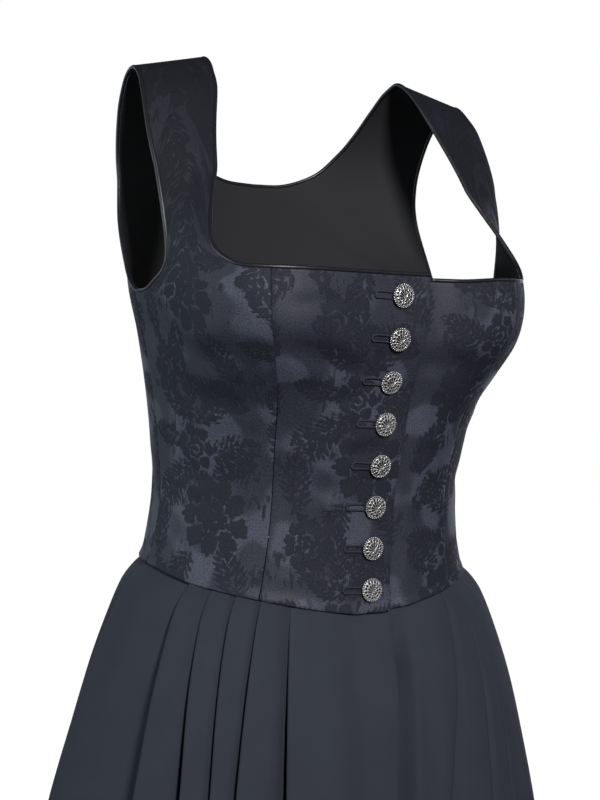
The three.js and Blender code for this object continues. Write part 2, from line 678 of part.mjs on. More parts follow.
const FRONT_SIDE = sidePanelGrid({
  seam: (fraction) => princessRow(fraction, 1),
  neckEdge: FRONT_NECK_EDGE,
  armEdge: FRONT_ARM_EDGE,
  dip: UNDERARM_DIP,
  isBack: false,
});
const BACK_HALF = sidePanelGrid({
  seam: centreBackRow, neckEdge: BACK_NECK_EDGE, armEdge: BACK_ARM_EDGE, dip: 0, isBack: true,
});
const CENTRE_RIGHT = centreFrontGrid([-OVERLAP_ANGLE, 0], () => 0);
const UNDERLAP_ANGLES = [UNDERLAP_ANGLE, 0, UNDERLAP_START_ANGLE, UNDERLAP_MIDDLE_ANGLE];
const CENTRE_LEFT = centreFrontGrid(UNDERLAP_ANGLES, underlapSink);

addPiece('front_centre_right', wallFromGrids(mirrored([CENTRE_RIGHT])), JACQUARD);
addPiece('front_centre_left', wallFromGrids([CENTRE_LEFT]), JACQUARD);
addPiece('front_side_right', wallFromGrids(mirrored([FRONT_SIDE])), JACQUARD);
addPiece('front_side_left', wallFromGrids([FRONT_SIDE]), JACQUARD);
addPiece('back', wallFromGrids([BACK_HALF, ...mirrored([BACK_HALF])]), JACQUARD);

const rightNeck = neckHalf(CENTRE_RIGHT, 0).map(reflect);
const leftNeck = neckHalf(CENTRE_LEFT, 2).reverse();
addPiece('neck_piping', tube([...rightNeck, ...leftNeck.slice(1)], PIPING_RADIUS, false), SATIN);
addPiece('arm_piping_left', tube(armLoop(), PIPING_RADIUS, true), SATIN);
addPiece('arm_piping_right', tube(armLoop().map(reflect).reverse(), PIPING_RADIUS, true), SATIN);

for (let k = 0; k < BUTTON_COUNT; k += 1) {
  const z = FIRST_BUTTON_Z - BUTTON_PITCH * k;
  addPiece(`buttonhole_${k + 1}`, buttonholeSolid(z), JACQUARD);
  const button = addPiece(`button_${k + 1}`, buttonSolid(), SILVER);
  const slope = onFront(0, z + 5, 0).sub(onFront(0, z - 5, 0)).normalize();
  const outward = new THREE.Vector3(1, 0, 0).cross(slope);
  button.quaternion.setFromUnitVectors(new THREE.Vector3(0, 1, 0), outward);
  button.position.copy(onFront(0, z, FRONT_CLEARANCE));
}

const rightSkirt = skirtGrid((depth) => frontSkirtLine(depth, false));
const leftSkirt = skirtGrid((depth) => frontSkirtLine(depth, true));
const backSkirt = skirtGrid(backSkirtLine);
addPiece('skirt_front_right', wallFromGrids(mirrored([rightSkirt])), TWILL);
addPiece('skirt_front_left', wallFromGrids([leftSkirt]), TWILL);
addPiece('skirt_back', wallFromGrids([backSkirt, ...mirrored([backSkirt])]), TWILL);

export default dirndl;
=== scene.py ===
"""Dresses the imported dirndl: jacquard bodice, pleated twill skirt, satin piping, silver buttons.

Sizes are millimetres in the part's own frame: +Z up, the front facing -Y, the wearer's left
at +X, the origin between the strap tops. Meshes are written in metres. Angles go round the
body in degrees: 0 at the centre front, 90 at the wearer's left side, 180 at the centre back.
"""
import logging
import math
from dataclasses import dataclass, field
from enum import Enum
from typing import Callable, Sequence

import bpy
import numpy as np
from bpy.types import (
    GeometryNodeTree, Material, Mesh, Node, NodeSocket, Object, ShaderNodeTree,
)
from mathutils import Matrix, Vector


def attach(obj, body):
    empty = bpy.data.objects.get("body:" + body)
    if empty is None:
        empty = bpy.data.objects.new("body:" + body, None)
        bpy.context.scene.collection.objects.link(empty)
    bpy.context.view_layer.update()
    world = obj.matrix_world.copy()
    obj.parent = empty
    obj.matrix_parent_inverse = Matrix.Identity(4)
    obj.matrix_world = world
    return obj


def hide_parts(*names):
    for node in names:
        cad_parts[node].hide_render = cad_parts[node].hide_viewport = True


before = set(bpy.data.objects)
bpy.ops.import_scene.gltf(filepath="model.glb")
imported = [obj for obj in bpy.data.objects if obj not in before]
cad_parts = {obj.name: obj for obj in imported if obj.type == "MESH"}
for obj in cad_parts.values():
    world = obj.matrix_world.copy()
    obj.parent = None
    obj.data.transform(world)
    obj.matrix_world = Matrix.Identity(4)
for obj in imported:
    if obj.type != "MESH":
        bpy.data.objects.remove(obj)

log = logging.getLogger("dirndl")
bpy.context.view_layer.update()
Array = np.ndarray
MM = 0.001
CLOTH_WALL = 2.0
SKIRT_WALL = 1.0
SEAM_GAP = 0.3
MIRROR = np.array([-1.0, 1.0, 1.0])


def lerp(a: Array, b: Array, share: Array) -> Array:
    """Mixes a and b by a share from 0 to 1."""
    return a + (b - a) * share


def smooth(value: Array, low: float, high: float) -> Array:
    """Eases from 0 at low to 1 at high."""
    x = np.clip((np.asarray(value, float) - low) / (high - low), 0.0, 1.0)
    return x * x * (3 - 2 * x)


def unit(vectors: Array) -> Array:
    """Vectors of length 1."""
    return vectors / np.maximum(np.linalg.norm(vectors, axis=-1, keepdims=True), 1e-12)


def polar(angle: Array, radius: Array, z: Array) -> Array:
    """Points from angles in degrees, radii and heights."""
    a = np.radians(angle)
    return np.stack(np.broadcast_arrays(radius * np.sin(a), -radius * np.cos(a), z), -1)


@dataclass(frozen=True)
class Curve:
    """A smooth curve through given keys, each a position and the values there."""

    keys: tuple[tuple[float, ...], ...]

    def __call__(self, at: Array | float) -> Array:
        """Reads the curve.

        Args:
            at: Positions, held to the first and last key.

        Returns:
            The values there, with one more axis where a key holds several.
        """
        table = np.array(sorted(self.keys), float)
        x, y = table[:, 0], table[:, 1:]
        last = len(x) - 1
        before = np.maximum(np.arange(last + 1) - 1, 0)
        after = np.minimum(np.arange(last + 1) + 1, last)
        slope = (y[after] - y[before]) / (x[after] - x[before])[:, None]
        at = np.clip(np.asarray(at, float), x[0], x[-1])
        i = np.clip(np.searchsorted(x, at, side="right") - 1, 0, last - 1)
        width = (x[i + 1] - x[i])[..., None]
        u = (at - x[i])[..., None] / width
        value = y[i] * (2 * u**3 - 3 * u**2 + 1) + y[i + 1] * (3 * u**2 - 2 * u**3)
        value = value + width * (slope[i] * (u**3 - 2 * u**2 + u) + slope[i + 1] * (u**3 - u**2))
        return value[..., 0] if y.shape[1] == 1 else value


class Wearer(Enum):
    """The wearer's side that a mirrored panel lies on."""

    LEFT = 1
    RIGHT = -1


@dataclass(frozen=True)
class Crease:
    """A soft trough in the cloth between two places, each an angle and a height.

    depth is how deep it lies, or how high where it is negative, and half is its half width.
    """

    start: tuple[float, float]
    end: tuple[float, float]
    depth: float
    half: float

    def relief(self, angle: Array, z: Array, mm_per_degree: float) -> Array:
        """How far the cloth stands out because of this crease.

        Args:
            angle: Angles of the cloth.
            z: Heights of the cloth.
            mm_per_degree: Cloth length of one degree round the body.

        Returns:
            The outward distance in millimetres.
        """
        a = np.array([self.start[0] * mm_per_degree, self.start[1]])
        along = np.array([self.end[0] * mm_per_degree, self.end[1]]) - a
        length = float(np.linalg.norm(along))
        along = along / length
        x, y = angle * mm_per_degree - a[0], z - a[1]
        run = (x * along[0] + y * along[1]) / length
        off = (x * -along[1] + y * along[0]) / self.half
        fade = smooth(run, -0.12, 0.3) * (1 - smooth(run, 0.6, 1.12))
        ridges = 0.4 * (np.exp(-((off - 1.9) ** 2)) + np.exp(-((off + 1.9) ** 2)))
        return self.depth * fade * (ridges - np.exp(-off * off))


def relief_of(creases: Sequence[Crease], angle: Array, z: Array, mm_per_degree: float) -> Array:
    """The summed relief of several creases.

    Args:
        creases: The creases.
        angle: Angles of the cloth.
        z: Heights of the cloth.
        mm_per_degree: Cloth length of one degree round the body.

    Returns:
        The outward distance in millimetres.
    """
    total = np.zeros(np.broadcast(angle, z).shape)
    for crease in creases:
        total = total + crease.relief(angle, z, mm_per_degree)
    return total


# The bodice as worn: height, then half width, front, back, squareness front and back
BODY = Curve((
    (-455, 144, 106, 108, 2.3, 2.2),
    (-415, 138, 106, 104, 2.3, 2.2),
    (-375, 129, 106, 98, 2.3, 2.2),
    (-335, 124, 109, 94, 2.3, 2.2),
    (-295, 127, 117, 92, 2.35, 2.2),
    (-255, 132, 124, 93, 2.65, 2.2),
    (-215, 139, 136, 95, 3.1, 2.2),
    (-175, 148, 139, 97, 3.1, 2.2),
    (-135, 148, 139, 98, 2.8, 2.2),
    (-95, 144, 135, 97, 2.4, 2.2),
))
CUP_ANGLE, CUP_Z, CUP_OUT = 38.0, -207.0, 17.0
CUP_INWARD, CUP_OUTWARD, CUP_ABOVE, CUP_BELOW = 14.0, 21.0, 48.0, 36.0
LOWER_EDGE = Curve((
    (0, -423), (8, -423), (30, -416), (60, -404), (90, -393), (135, -391), (180, -391),
))
PRINCESS_SEAM = Curve((
    (-430, 45), (-365, 41.5), (-305, 39.5), (-255, 37.5), (-215, 37.5), (-171, 38),
))
PRINCESS_FOOT = 45.0
SIDE_SEAM = 92.0
NECK_Z, UNDERARM_Z, BACK_NECK_Z = -171.0, -185.0, -86.0
# How far past the centre the right front reaches over the left
OVERLAP_ANGLE = 9.9
SHOULDER_NORMAL = np.array([0.22, 0.0, 0.975]) / np.hypot(0.22, 0.975)


def body_radius(angle: Array, z: Array) -> Array:
    """The bodice's outer radius at angles in degrees and heights.

    Args:
        angle: Angles round the body.
        z: Heights.

    Returns:
        The radius in millimetres, with the bust in it.
    """
    angle, z = np.broadcast_arrays(np.asarray(angle, float), np.asarray(z, float))
    section = BODY(z)
    turn = np.radians(angle)
    front = np.cos(turn) > 0
    depth = np.where(front, section[..., 1], section[..., 2])
    power = np.where(front, section[..., 3], section[..., 4])
    across = (np.abs(np.sin(turn)) / section[..., 0]) ** power
    plan = (across + (np.abs(np.cos(turn)) / depth) ** power) ** (-1 / power)
    beyond = np.abs(angle) - CUP_ANGLE
    turned = beyond / np.where(beyond > 0, CUP_OUTWARD, CUP_INWARD)
    raised = (z - CUP_Z) / np.where(z > CUP_Z, CUP_ABOVE, CUP_BELOW)
    return plan + CUP_OUT * np.exp(-0.5 * (turned**2 + raised**2))


def lower_edge(angle: Array) -> Array:
    """The height of the bodice's lower edge."""
    return LOWER_EDGE(np.abs(angle))


def cleared(angle: Array, z: Array, side: float) -> Array:
    """A seam line moved off the seam by half its gap."""
    return angle + np.degrees(side * SEAM_GAP / 2 / body_radius(angle, z))


# Soft folds of the bodice's cloth, on both sides of the front and round the back
BODICE_CREASES = (
    Crease((-38, -222), (-11, -243), 2.4, 8), Crease((11, -232), (30, -240), 2.0, 8),
    Crease((-62, -236), (-44, -228), 1.6, 9), Crease((-34, -195), (-18, -191), 0.9, 5),
    Crease((-14, -303), (1, -299), 1.3, 6), Crease((-40, -404), (-22, -407), 1.1, 5),
    Crease((-38, -417), (-19, -420), 0.9, 5), Crease((-22, -262), (-8, -258), 1.0, 6),
    Crease((-70, -262), (-32, -272), 1.1, 9), Crease((-60, -288), (-20, -283), 0.8, 8),
    Crease((-78, -318), (-46, -326), 0.9, 8), Crease((-84, -345), (-52, -338), 0.8, 7),
    Crease((-30, -330), (-8, -322), 0.5, 7), Crease((-36, -355), (-10, -352), 0.45, 7),
    Crease((-58, -405), (-66, -350), 0.9, 9), Crease((-26, -415), (-30, -365), 0.7, 10),
    Crease((72, -258), (30, -270), 1.0, 9), Crease((66, -285), (24, -282), 0.7, 8),
    Crease((80, -320), (44, -330), 0.9, 8), Crease((60, -400), (64, -352), 0.8, 9),
    Crease((18, -352), (42, -358), 0.5, 7), Crease((16, -300), (36, -304), 0.5, 8),
    Crease((-86, -205), (-58, -232), 0.8, 8), Crease((86, -205), (58, -232), 0.8, 8),
    Crease((104, -318), (150, -326), 0.9, 9), Crease((-104, -322), (-146, -330), 0.9, 9),
    Crease((110, -345), (165, -350), 0.8, 8), Crease((-112, -348), (-160, -344), 0.8, 8),
    Crease((128, -230), (160, -215), 0.7, 9), Crease((-130, -226), (-162, -214), 0.7, 9),
)
BODICE_MM_PER_DEGREE = 2.1
HEM_LIP, HEM_LIP_HEIGHT = 1.5, 9.0


@dataclass
class ClothMesh:
    """The points, faces, cloth coordinates and material numbers of one piece."""

    points: list[Array] = field(default_factory=list)
    faces: list[Array] = field(default_factory=list)
    cloth: list[Array] = field(default_factory=list)
    finish: list[Array] = field(default_factory=list)
    count: int = 0

    def add_points(self, points: Array, cloth: Array | None = None) -> Array:
        """Adds points and returns their numbers in the points' own shape.

        Args:
            points: Places in millimetres, in any shape with three numbers last.
            cloth: Cloth coordinates in millimetres, two numbers last.

        Returns:
            The number of each point.
        """
        shape = points.shape[:-1]
        numbers = self.count + np.arange(int(np.prod(shape))).reshape(shape)
        self.points.append(points.reshape(-1, 3))
        flat = np.zeros(shape + (2,)) if cloth is None else cloth
        self.cloth.append(flat.reshape(-1, 2))
        self.count += numbers.size
        return numbers

    def add_quads(self, a: Array, b: Array, c: Array, d: Array, finish: int = 0) -> None:
        """Adds quads from the numbers of their four corners.

        Args:
            a: First corners.
            b: Second corners.
            c: Third corners.
            d: Fourth corners.
            finish: Their material number.
        """
        quads = np.stack([a.ravel(), b.ravel(), c.ravel(), d.ravel()], -1)
        self.faces.append(quads)
        self.finish.append(np.full(len(quads), finish))

    def add_triangles(self, a: Array, b: Array, c: Array, finish: int = 0) -> None:
        """Adds triangles from the numbers of their three corners.

        Args:
            a: First corners.
            b: Second corners.
            c: Third corners.
            finish: Their material number.
        """
        none = np.full(a.size, -1)
        self.faces.append(np.stack([a.ravel(), b.ravel(), c.ravel(), none], -1))
        self.finish.append(np.full(a.size, finish))

    def data(self, name: str, materials: Sequence[Material] = ()) -> Mesh:
        """Makes the piece's mesh.

        Args:
            name: The mesh's name.
            materials: Its materials, in the order of the material numbers.

        Returns:
            The mesh, smooth and in metres.
        """
        points = np.concatenate(self.points) * MM
        faces = np.concatenate(self.faces).astype(np.int32)
        mesh = bpy.data.meshes.new(name)
        mesh.vertices.add(len(points))
        mesh.vertices.foreach_set("co", points.ravel().astype(np.float32))
        corners = faces[faces >= 0]
        starts = np.concatenate([[0], np.cumsum((faces >= 0).sum(1))[:-1]]).astype(np.int32)
        mesh.loops.add(corners.size)
        mesh.loops.foreach_set("vertex_index", corners)
        mesh.polygons.add(len(faces))
        mesh.polygons.foreach_set("loop_start", starts)
        mesh.update(calc_edges=True)
        mesh.validate()
        for material in materials:
            mesh.materials.append(material)
        if len(mesh.polygons) == len(faces):
            mesh.polygons.foreach_set("material_index", np.concatenate(self.finish).astype(np.int32))
        layer = mesh.uv_layers.new(name="Cloth")
        corner = np.zeros(len(mesh.loops), np.int32)
        mesh.loops.foreach_get("vertex_index", corner)
        cloth = (np.concatenate(self.cloth) * MM)[corner]
        layer.uv.foreach_set("vector", cloth.astype(np.float32).ravel())
        mesh.shade_smooth()
        return mesh

    def build(self, name: str, materials: Sequence[Material]) -> Object:
        """Makes the piece's object, at the origin.

        Args:
            name: The piece's name.
            materials: Its materials, in the order of the material numbers.

        Returns:
            The object.
        """
        piece = bpy.data.objects.new(name, self.data(name, materials))
        bpy.context.scene.collection.objects.link(piece)
        return piece


# How a cut edge rounds over between the two faces: outward share and wall share
ROUND_EDGE = ((0.45, 0.89), (0.8, 0.6), (0.98, 0.2), (0.98, -0.2), (0.8, -0.6), (0.45, -0.89))


def grid_normals(grid: Array) -> Array:
    """The unit normals of a grid of points, from rows crossed with columns.

    Args:
        grid: The points.

    Returns:
        The normals.
    """
    across = np.gradient(grid, axis=1)
    along = np.gradient(grid, axis=0)
    return unit(np.cross(across, along))


@dataclass(frozen=True)
class Layout:
    """How a sheet's points join: its quads, and its border going round, by point number."""

    quads: Array
    border: Array

    @staticmethod
    def of_grid(rows: int, columns: int) -> "Layout":
        """The layout of a plain grid.

        Args:
            rows: Its rows.
            columns: Its columns.

        Returns:
            The layout.
        """
        ids = np.arange(rows * columns).reshape(rows, columns)
        quads = np.stack([ids[:-1, :-1], ids[:-1, 1:], ids[1:, 1:], ids[1:, :-1]], -1)
        border = np.concatenate([ids[0, :-1], ids[:-1, -1], ids[-1, :0:-1], ids[:0:-1, 0]])
        return Layout(quads.reshape(-1, 4), border)

    @staticmethod
    def of_halves(rows: int, columns: int, joined: int) -> "Layout":
        """The layout of a grid and its mirror image, one after the other in number.

        Args:
            rows: Rows of each half.
            columns: Columns of each half.
            joined: The last row whose first point is shared between the halves.

        Returns:
            The layout of both halves as one sheet.
        """
        left = np.arange(rows * columns).reshape(rows, columns)
        right = left + left.size
        right[: joined + 1, 0] = left[: joined + 1, 0]
        quads = [
            np.stack([left[:-1, :-1], left[:-1, 1:], left[1:, 1:], left[1:, :-1]], -1),
            np.stack([right[:-1, :-1], right[1:, :-1], right[1:, 1:], right[:-1, 1:]], -1)]
        border = np.concatenate([
            right[0, :0:-1], left[0, :-1], left[:-1, -1], left[-1, :0:-1], left[:joined:-1, 0],
            left[joined : joined + 1, 0], right[joined + 1 : -1, 0], right[-1, :-1],
            right[:0:-1, -1]])
        return Layout(np.concatenate([q.reshape(-1, 4) for q in quads]), border)


def add_shell(
    mesh: ClothMesh, outer: Array, inner: Array, cloth: Array, layout: Layout, rim: Array,
    profile: Sequence[tuple[float, float]], lining: int = 1,
) -> None:
    """Adds a closed wall between two matching faces, with its cut edges rounded.

    Args:
        mesh: The mesh to add to.
        outer: The outer face's points.
        inner: The matching inner points.
        cloth: The cloth coordinates.
        layout: How the points join.
        rim: How far the rounding stands out at each point of the border, going round.
        profile: Outward and wall shares of the rounding, from the outer face to the inner.
        lining: The material number of the inner face.
    """
    a, b, c, d = layout.quads.T
    way_in = (inner[a] * np.cross(outer[b] - outer[a], outer[d] - outer[a])).sum()
    way_out = (outer[a] * np.cross(outer[b] - outer[a], outer[d] - outer[a])).sum()
    if way_out < way_in:
        b, d = d, b
    used = np.unique(layout.quads)
    slot = np.zeros(layout.quads.max() + 1, int)
    slot[used] = np.arange(len(used))
    outer_ids = mesh.add_points(outer[used], cloth[used])[slot]
    inner_ids = mesh.add_points(inner[used], cloth[used])[slot]
    mesh.add_quads(outer_ids[a], outer_ids[b], outer_ids[c], outer_ids[d])
    mesh.add_quads(inner_ids[a], inner_ids[d], inner_ids[c], inner_ids[b], lining)
    face, back = outer[layout.border], inner[layout.border]
    middle = (face + back) / 2
    wall = face - middle
    tangent = unit(np.roll(middle, -1, 0) - middle) + unit(middle - np.roll(middle, 1, 0))
    away = unit(np.cross(tangent, unit(wall)))
    flip = way_out < way_in
    if flip:
        away = -away
    rings = [outer_ids[layout.border]]
    for out, level in profile:
        ring = middle + away * (rim * out)[:, None] + wall * level
        rings.append(mesh.add_points(ring, cloth[layout.border]))
    rings.append(inner_ids[layout.border])
    for upper, under in zip(rings[:-1], rings[1:]):
        a, b, c, d = upper, under, np.roll(under, -1), np.roll(upper, -1)
        if flip:
            b, d = d, b
        mesh.add_quads(a, b, c, d)


def side_lengths(grid: Array) -> tuple[Array, Array]:
    """Running lengths of a grid's rows and columns, from their first points.

    Args:
        grid: The points.

    Returns:
        The lengths along the rows, then along the columns.
    """
    across = np.cumsum(np.linalg.norm(np.diff(grid, axis=1), axis=-1), 1)
    along = np.cumsum(np.linalg.norm(np.diff(grid, axis=0), axis=-1), 0)
    return np.pad(across, ((0, 0), (1, 0))), np.pad(along, ((1, 0), (0, 0)))


def surface_area(grid: Array) -> float:
    """The area of a grid of points, in square metres.

    Args:
        grid: The points, in millimetres.

    Returns:
        The area.
    """
    a, b, c, d = grid[:-1, :-1], grid[:-1, 1:], grid[1:, 1:], grid[1:, :-1]
    halves = np.cross(b - a, c - a), np.cross(c - a, d - a)
    return float(sum(np.linalg.norm(h, axis=-1).sum() for h in halves)) / 2 * MM * MM


Row = tuple[Array, Array, Array]


@dataclass(frozen=True)
class StrapEdge:
    """One edge of a strap: places with x, y, z, and 1 where they lie on the body's form."""

    keys: tuple[tuple[float, float, float, int], ...]

    def row(self, share: Array) -> Row:
        """Angle, height and distance outside the body's form at a share of its length.

        Args:
            share: Shares from 0 to 1.

        Returns:
            Angles, heights and distances.
        """
        x, y, z, fitted = np.array(self.keys, float).T
        angle = np.degrees(np.arctan2(x, -y))
        out = np.where(fitted > 0, 0.0, np.hypot(x, y) - body_radius(angle, z))
        table = Curve(tuple(zip(range(len(x)), angle, z, out)))
        found = table(np.asarray(share, float) * (len(x) - 1))
        return found[..., 0], found[..., 1], found[..., 2]


FRONT_NECK_EDGE = StrapEdge((
    (99.2, -125.6, NECK_Z, 1), (122, -122, -170, 1), (130, -112, -165, 1), (134, -102, -157, 1),
    (134, -94, -146, 0), (126, -78, -122, 0), (112, -55, -83, 0), (98, -26, -34, 0),
    (94, -10, -14, 0), (92, 2, -4, 0), (91, 12, 0, 0),
))
FRONT_ARM_EDGE = StrapEdge((
    (148, 5, UNDERARM_Z, 1), (148, -17, -184.5, 1), (148, -35, -179, 1), (147, -51, -171, 1),
    (149, -57, -157, 0), (151, -55, -128, 0), (153, -43, -88, 0), (152, -21, -43, 0),
    (149, -7, -25, 0), (148, 4, -16, 0), (147, 13, -13, 0),
))
BACK_NECK_EDGE = StrapEdge((
    (0, 97, BACK_NECK_Z, 1), (30, 95, -84, 0), (58, 90, -73, 0), (76, 79, -54, 0),
    (84, 66, -38, 0), (88, 50, -22, 0), (90, 34, -9, 0), (91, 22, -3, 0), (91, 12, 0, 0),
))
BACK_ARM_EDGE = StrapEdge((
    (148, 5, UNDERARM_Z, 1), (146, 24, -173, 1), (144, 36, -155, 0), (141, 54, -115, 0),
    (141, 58, -78, 0), (144, 49, -46, 0), (146, 35, -25, 0), (147, 23, -16, 0), (147, 13, -13, 0),
))


def princess_row(share: Array, side: float) -> Row:
    """The princess seam from the lower edge to the neckline, clear of the seam on one side.

    Args:
        share: Shares of its height.
        side: 1 for the side front, -1 for the centre front.

    Returns:
        Angle, height and distance outside the body's form.
    """
    z = lerp(lower_edge(PRINCESS_FOOT), NECK_Z, share)
    angle = PRINCESS_SEAM(z)
    return cleared(angle, z, side), z, np.zeros_like(z)


def side_seam_row(share: Array, side: float) -> Row:
    """The side seam from the lower edge to the underarm."""
    z = lerp(lower_edge(SIDE_SEAM), UNDERARM_Z, share)
    return cleared(np.full_like(z, SIDE_SEAM), z, side), z, np.zeros_like(z)


def centre_back_row(share: Array) -> Row:
    """The line down the centre back."""
    z = lerp(lower_edge(180.0), BACK_NECK_Z, share)
    return np.full_like(z, 180.0), z, np.zeros_like(z)


@dataclass
class Panel:
    """A bodice panel, placed by two shares: across from its first line, and up from its lower edge."""

    name: str
    node: str
    side: Wearer
    columns: int
    rows: int
    rim_lower: float = 1.0
    rim_seam: float = 0.6
    calm_share: float = 0.12
    squared_share: float = 1 / 7
    cloth_shift: tuple[float, float] = (0.0, 0.0)

    def row_at(self, across: Array, up: Array) -> Row:
        """Angle, height and distance outside the body's form.

        Args:
            across: Shares across.
            up: Shares up.

        Returns:
            Angles, heights and distances.
        """
        raise NotImplementedError

    def inward_share(self, up: Array) -> Array:
        """How far the wall's direction has turned from radial to square with the strap."""
        return np.zeros_like(up)

    def surface(self, across: Array, up: Array) -> Array:
        """The outer face's points on the wearer's left.

        Args:
            across: Shares across.
            up: Shares up.

        Returns:
            The points.
        """
        angle, z, out = self.row_at(across, up)
        worn = angle * self.side.value
        relief = relief_of(BODICE_CREASES, worn, z, BODICE_MM_PER_DEGREE)
        lip = HEM_LIP * (1 - smooth(z - lower_edge(angle), 0.0, HEM_LIP_HEIGHT))
        return polar(angle, body_radius(angle, z) + out + lip + relief * self.calm(across, up), z)

    def calm(self, across: Array, up: Array) -> Array:
        """How much of the creases' relief the panel takes, less near its lower edge."""
        return smooth(up, 0.0, self.calm_share)

    def shares(self) -> tuple[Array, Array]:
        """The grid's shares across and up, drawn in from the cut edges by the rounding.

        Returns:
            The shares across and up.
        """
        s, t = np.meshgrid(np.linspace(0, 1, self.columns), self.up_shares())
        across, along = side_lengths(self.surface(s, t))
        width = across[:, -1:]
        height = along[-1:, :]
        s = lerp(self.rim_seam / width, 1 - self.rim_seam / width, s)
        t = lerp(self.rim_lower / height, 1 - self.rim_lower / height, t)
        return s, t

    def up_shares(self) -> Array:
        """The shares of the grid's rows."""
        return np.linspace(0, 1, self.rows)

    def rims(self) -> Array:
        """How far the rounding stands out, round the border.

        Returns:
            One distance for each point of the border.
        """
        c, r = self.columns - 1, self.rows - 1
        low, seam = np.full(c, self.rim_lower), np.full(r, self.rim_seam)
        return np.concatenate([low, seam, low, seam])

    def wall_directions(self, outer: Array, up: Array) -> Array:
        """The way into the wall from each point of the outer face.

        Args:
            outer: The outer face's grid.
            up: The grid's shares up.

        Returns:
            Directions of length 1, radial low down and square with the strap at its end.
        """
        radial = unit(outer * np.array([-1.0, -1.0, 0.0]))
        turned = self.inward_share(up)[..., None]
        normal = grid_normals(outer)
        if (normal[0] * radial[0]).sum() > 0:
            normal = -normal
        near_top = smooth(up, 1 - self.squared_share, 1.0)[..., None]
        normal = unit(lerp(normal, SHOULDER_NORMAL, near_top))
        return unit(lerp(radial, -normal, turned))

    def grids(self) -> tuple[Array, Array, Array]:
        """The outer and inner faces' points and the cloth coordinates, on the wearer's left.

        Returns:
            The outer, inner and cloth grids.
        """
        s, t = self.shares()
        outer = self.surface(s, t)
        inner = outer + self.wall_directions(outer, t) * CLOTH_WALL
        across, along = side_lengths(outer)
        middle = self.columns // 2
        cloth = np.stack([across - across[:, middle : middle + 1], along], -1)
        return outer, inner, cloth + np.array(self.cloth_shift)

    def build(self, materials: Sequence[Material]) -> Object:
        """Makes the panel's piece, declared as a sheet of cloth.

        Args:
            materials: The outer cloth and the lining.

        Returns:
            The panel's object.
        """
        outer, inner, cloth = self.grids()
        if self.side is Wearer.RIGHT:
            outer, inner = outer * MIRROR, inner * MIRROR
        mesh = ClothMesh()
        layout = Layout.of_grid(*outer.shape[:2])
        add_shell(mesh, outer.reshape(-1, 3), inner.reshape(-1, 3), cloth.reshape(-1, 2),
                  layout, self.rims(), ROUND_EDGE)
        piece = mesh.build(self.name, materials)
        declare_sheet(piece, outer, (self.node,))
        return piece


def triangles(piece: Object) -> int:
    """The number of triangles that a piece's faces hold."""
    return sum(len(face.vertices) - 2 for face in piece.data.polygons)


def declare_sheet(
    piece: Object, face: Array, nodes: Sequence[str],
    doubled: bool = False,
) -> None:
    """Fastens a cloth piece to the dress and states its flat cut, read from its face.

    Args:
        piece: The cloth's object.
        face: The grid of one face, in millimetres.
        nodes: The CAD nodes that it stands for.
        doubled: True where the face is half of a symmetric sheet.
    """
    sides = 2 if doubled else 1
    across, along = side_lengths(face)
    area = surface_area(face) * sides
    width, length = float(across[:, -1].max()) * MM * sides, float(along[-1].max()) * MM
    area = min(area, width * length)
    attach(piece, "root")
    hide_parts(*nodes)
    faces = triangles(piece)
    log.info("%s: cut %.3f x %.3f m, %.4f m2, %d triangles",
             piece.name, width, length, area, faces)


@dataclass
class CentreFront(Panel):
    """A centre front, from its free edge past the centre line to the princess seam."""

    first_angle: float = -OVERLAP_ANGLE
    sink: float = 0.0
    sunk_until: float = 11.0
    risen_at: float = 20.0
    drop: float = 0.0
    drop_angles: tuple[float, float] = (18.0, 36.0)

    def row_at(self, across: Array, up: Array) -> Row:
        """Angle, height and distance outside the body's form.

        Args:
            across: Shares across.
            up: Shares up.

        Returns:
            Angles, heights and distances.
        """
        seam = princess_row(up, -1)[0]
        angle = lerp(self.first_angle, seam, across)
        top = NECK_Z - self.drop * (1 - smooth(angle, *self.drop_angles))
        z = lerp(lower_edge(angle), top, up)
        risen = smooth(angle, self.sunk_until, self.risen_at)
        return angle, z, -self.sink * (1 - risen)


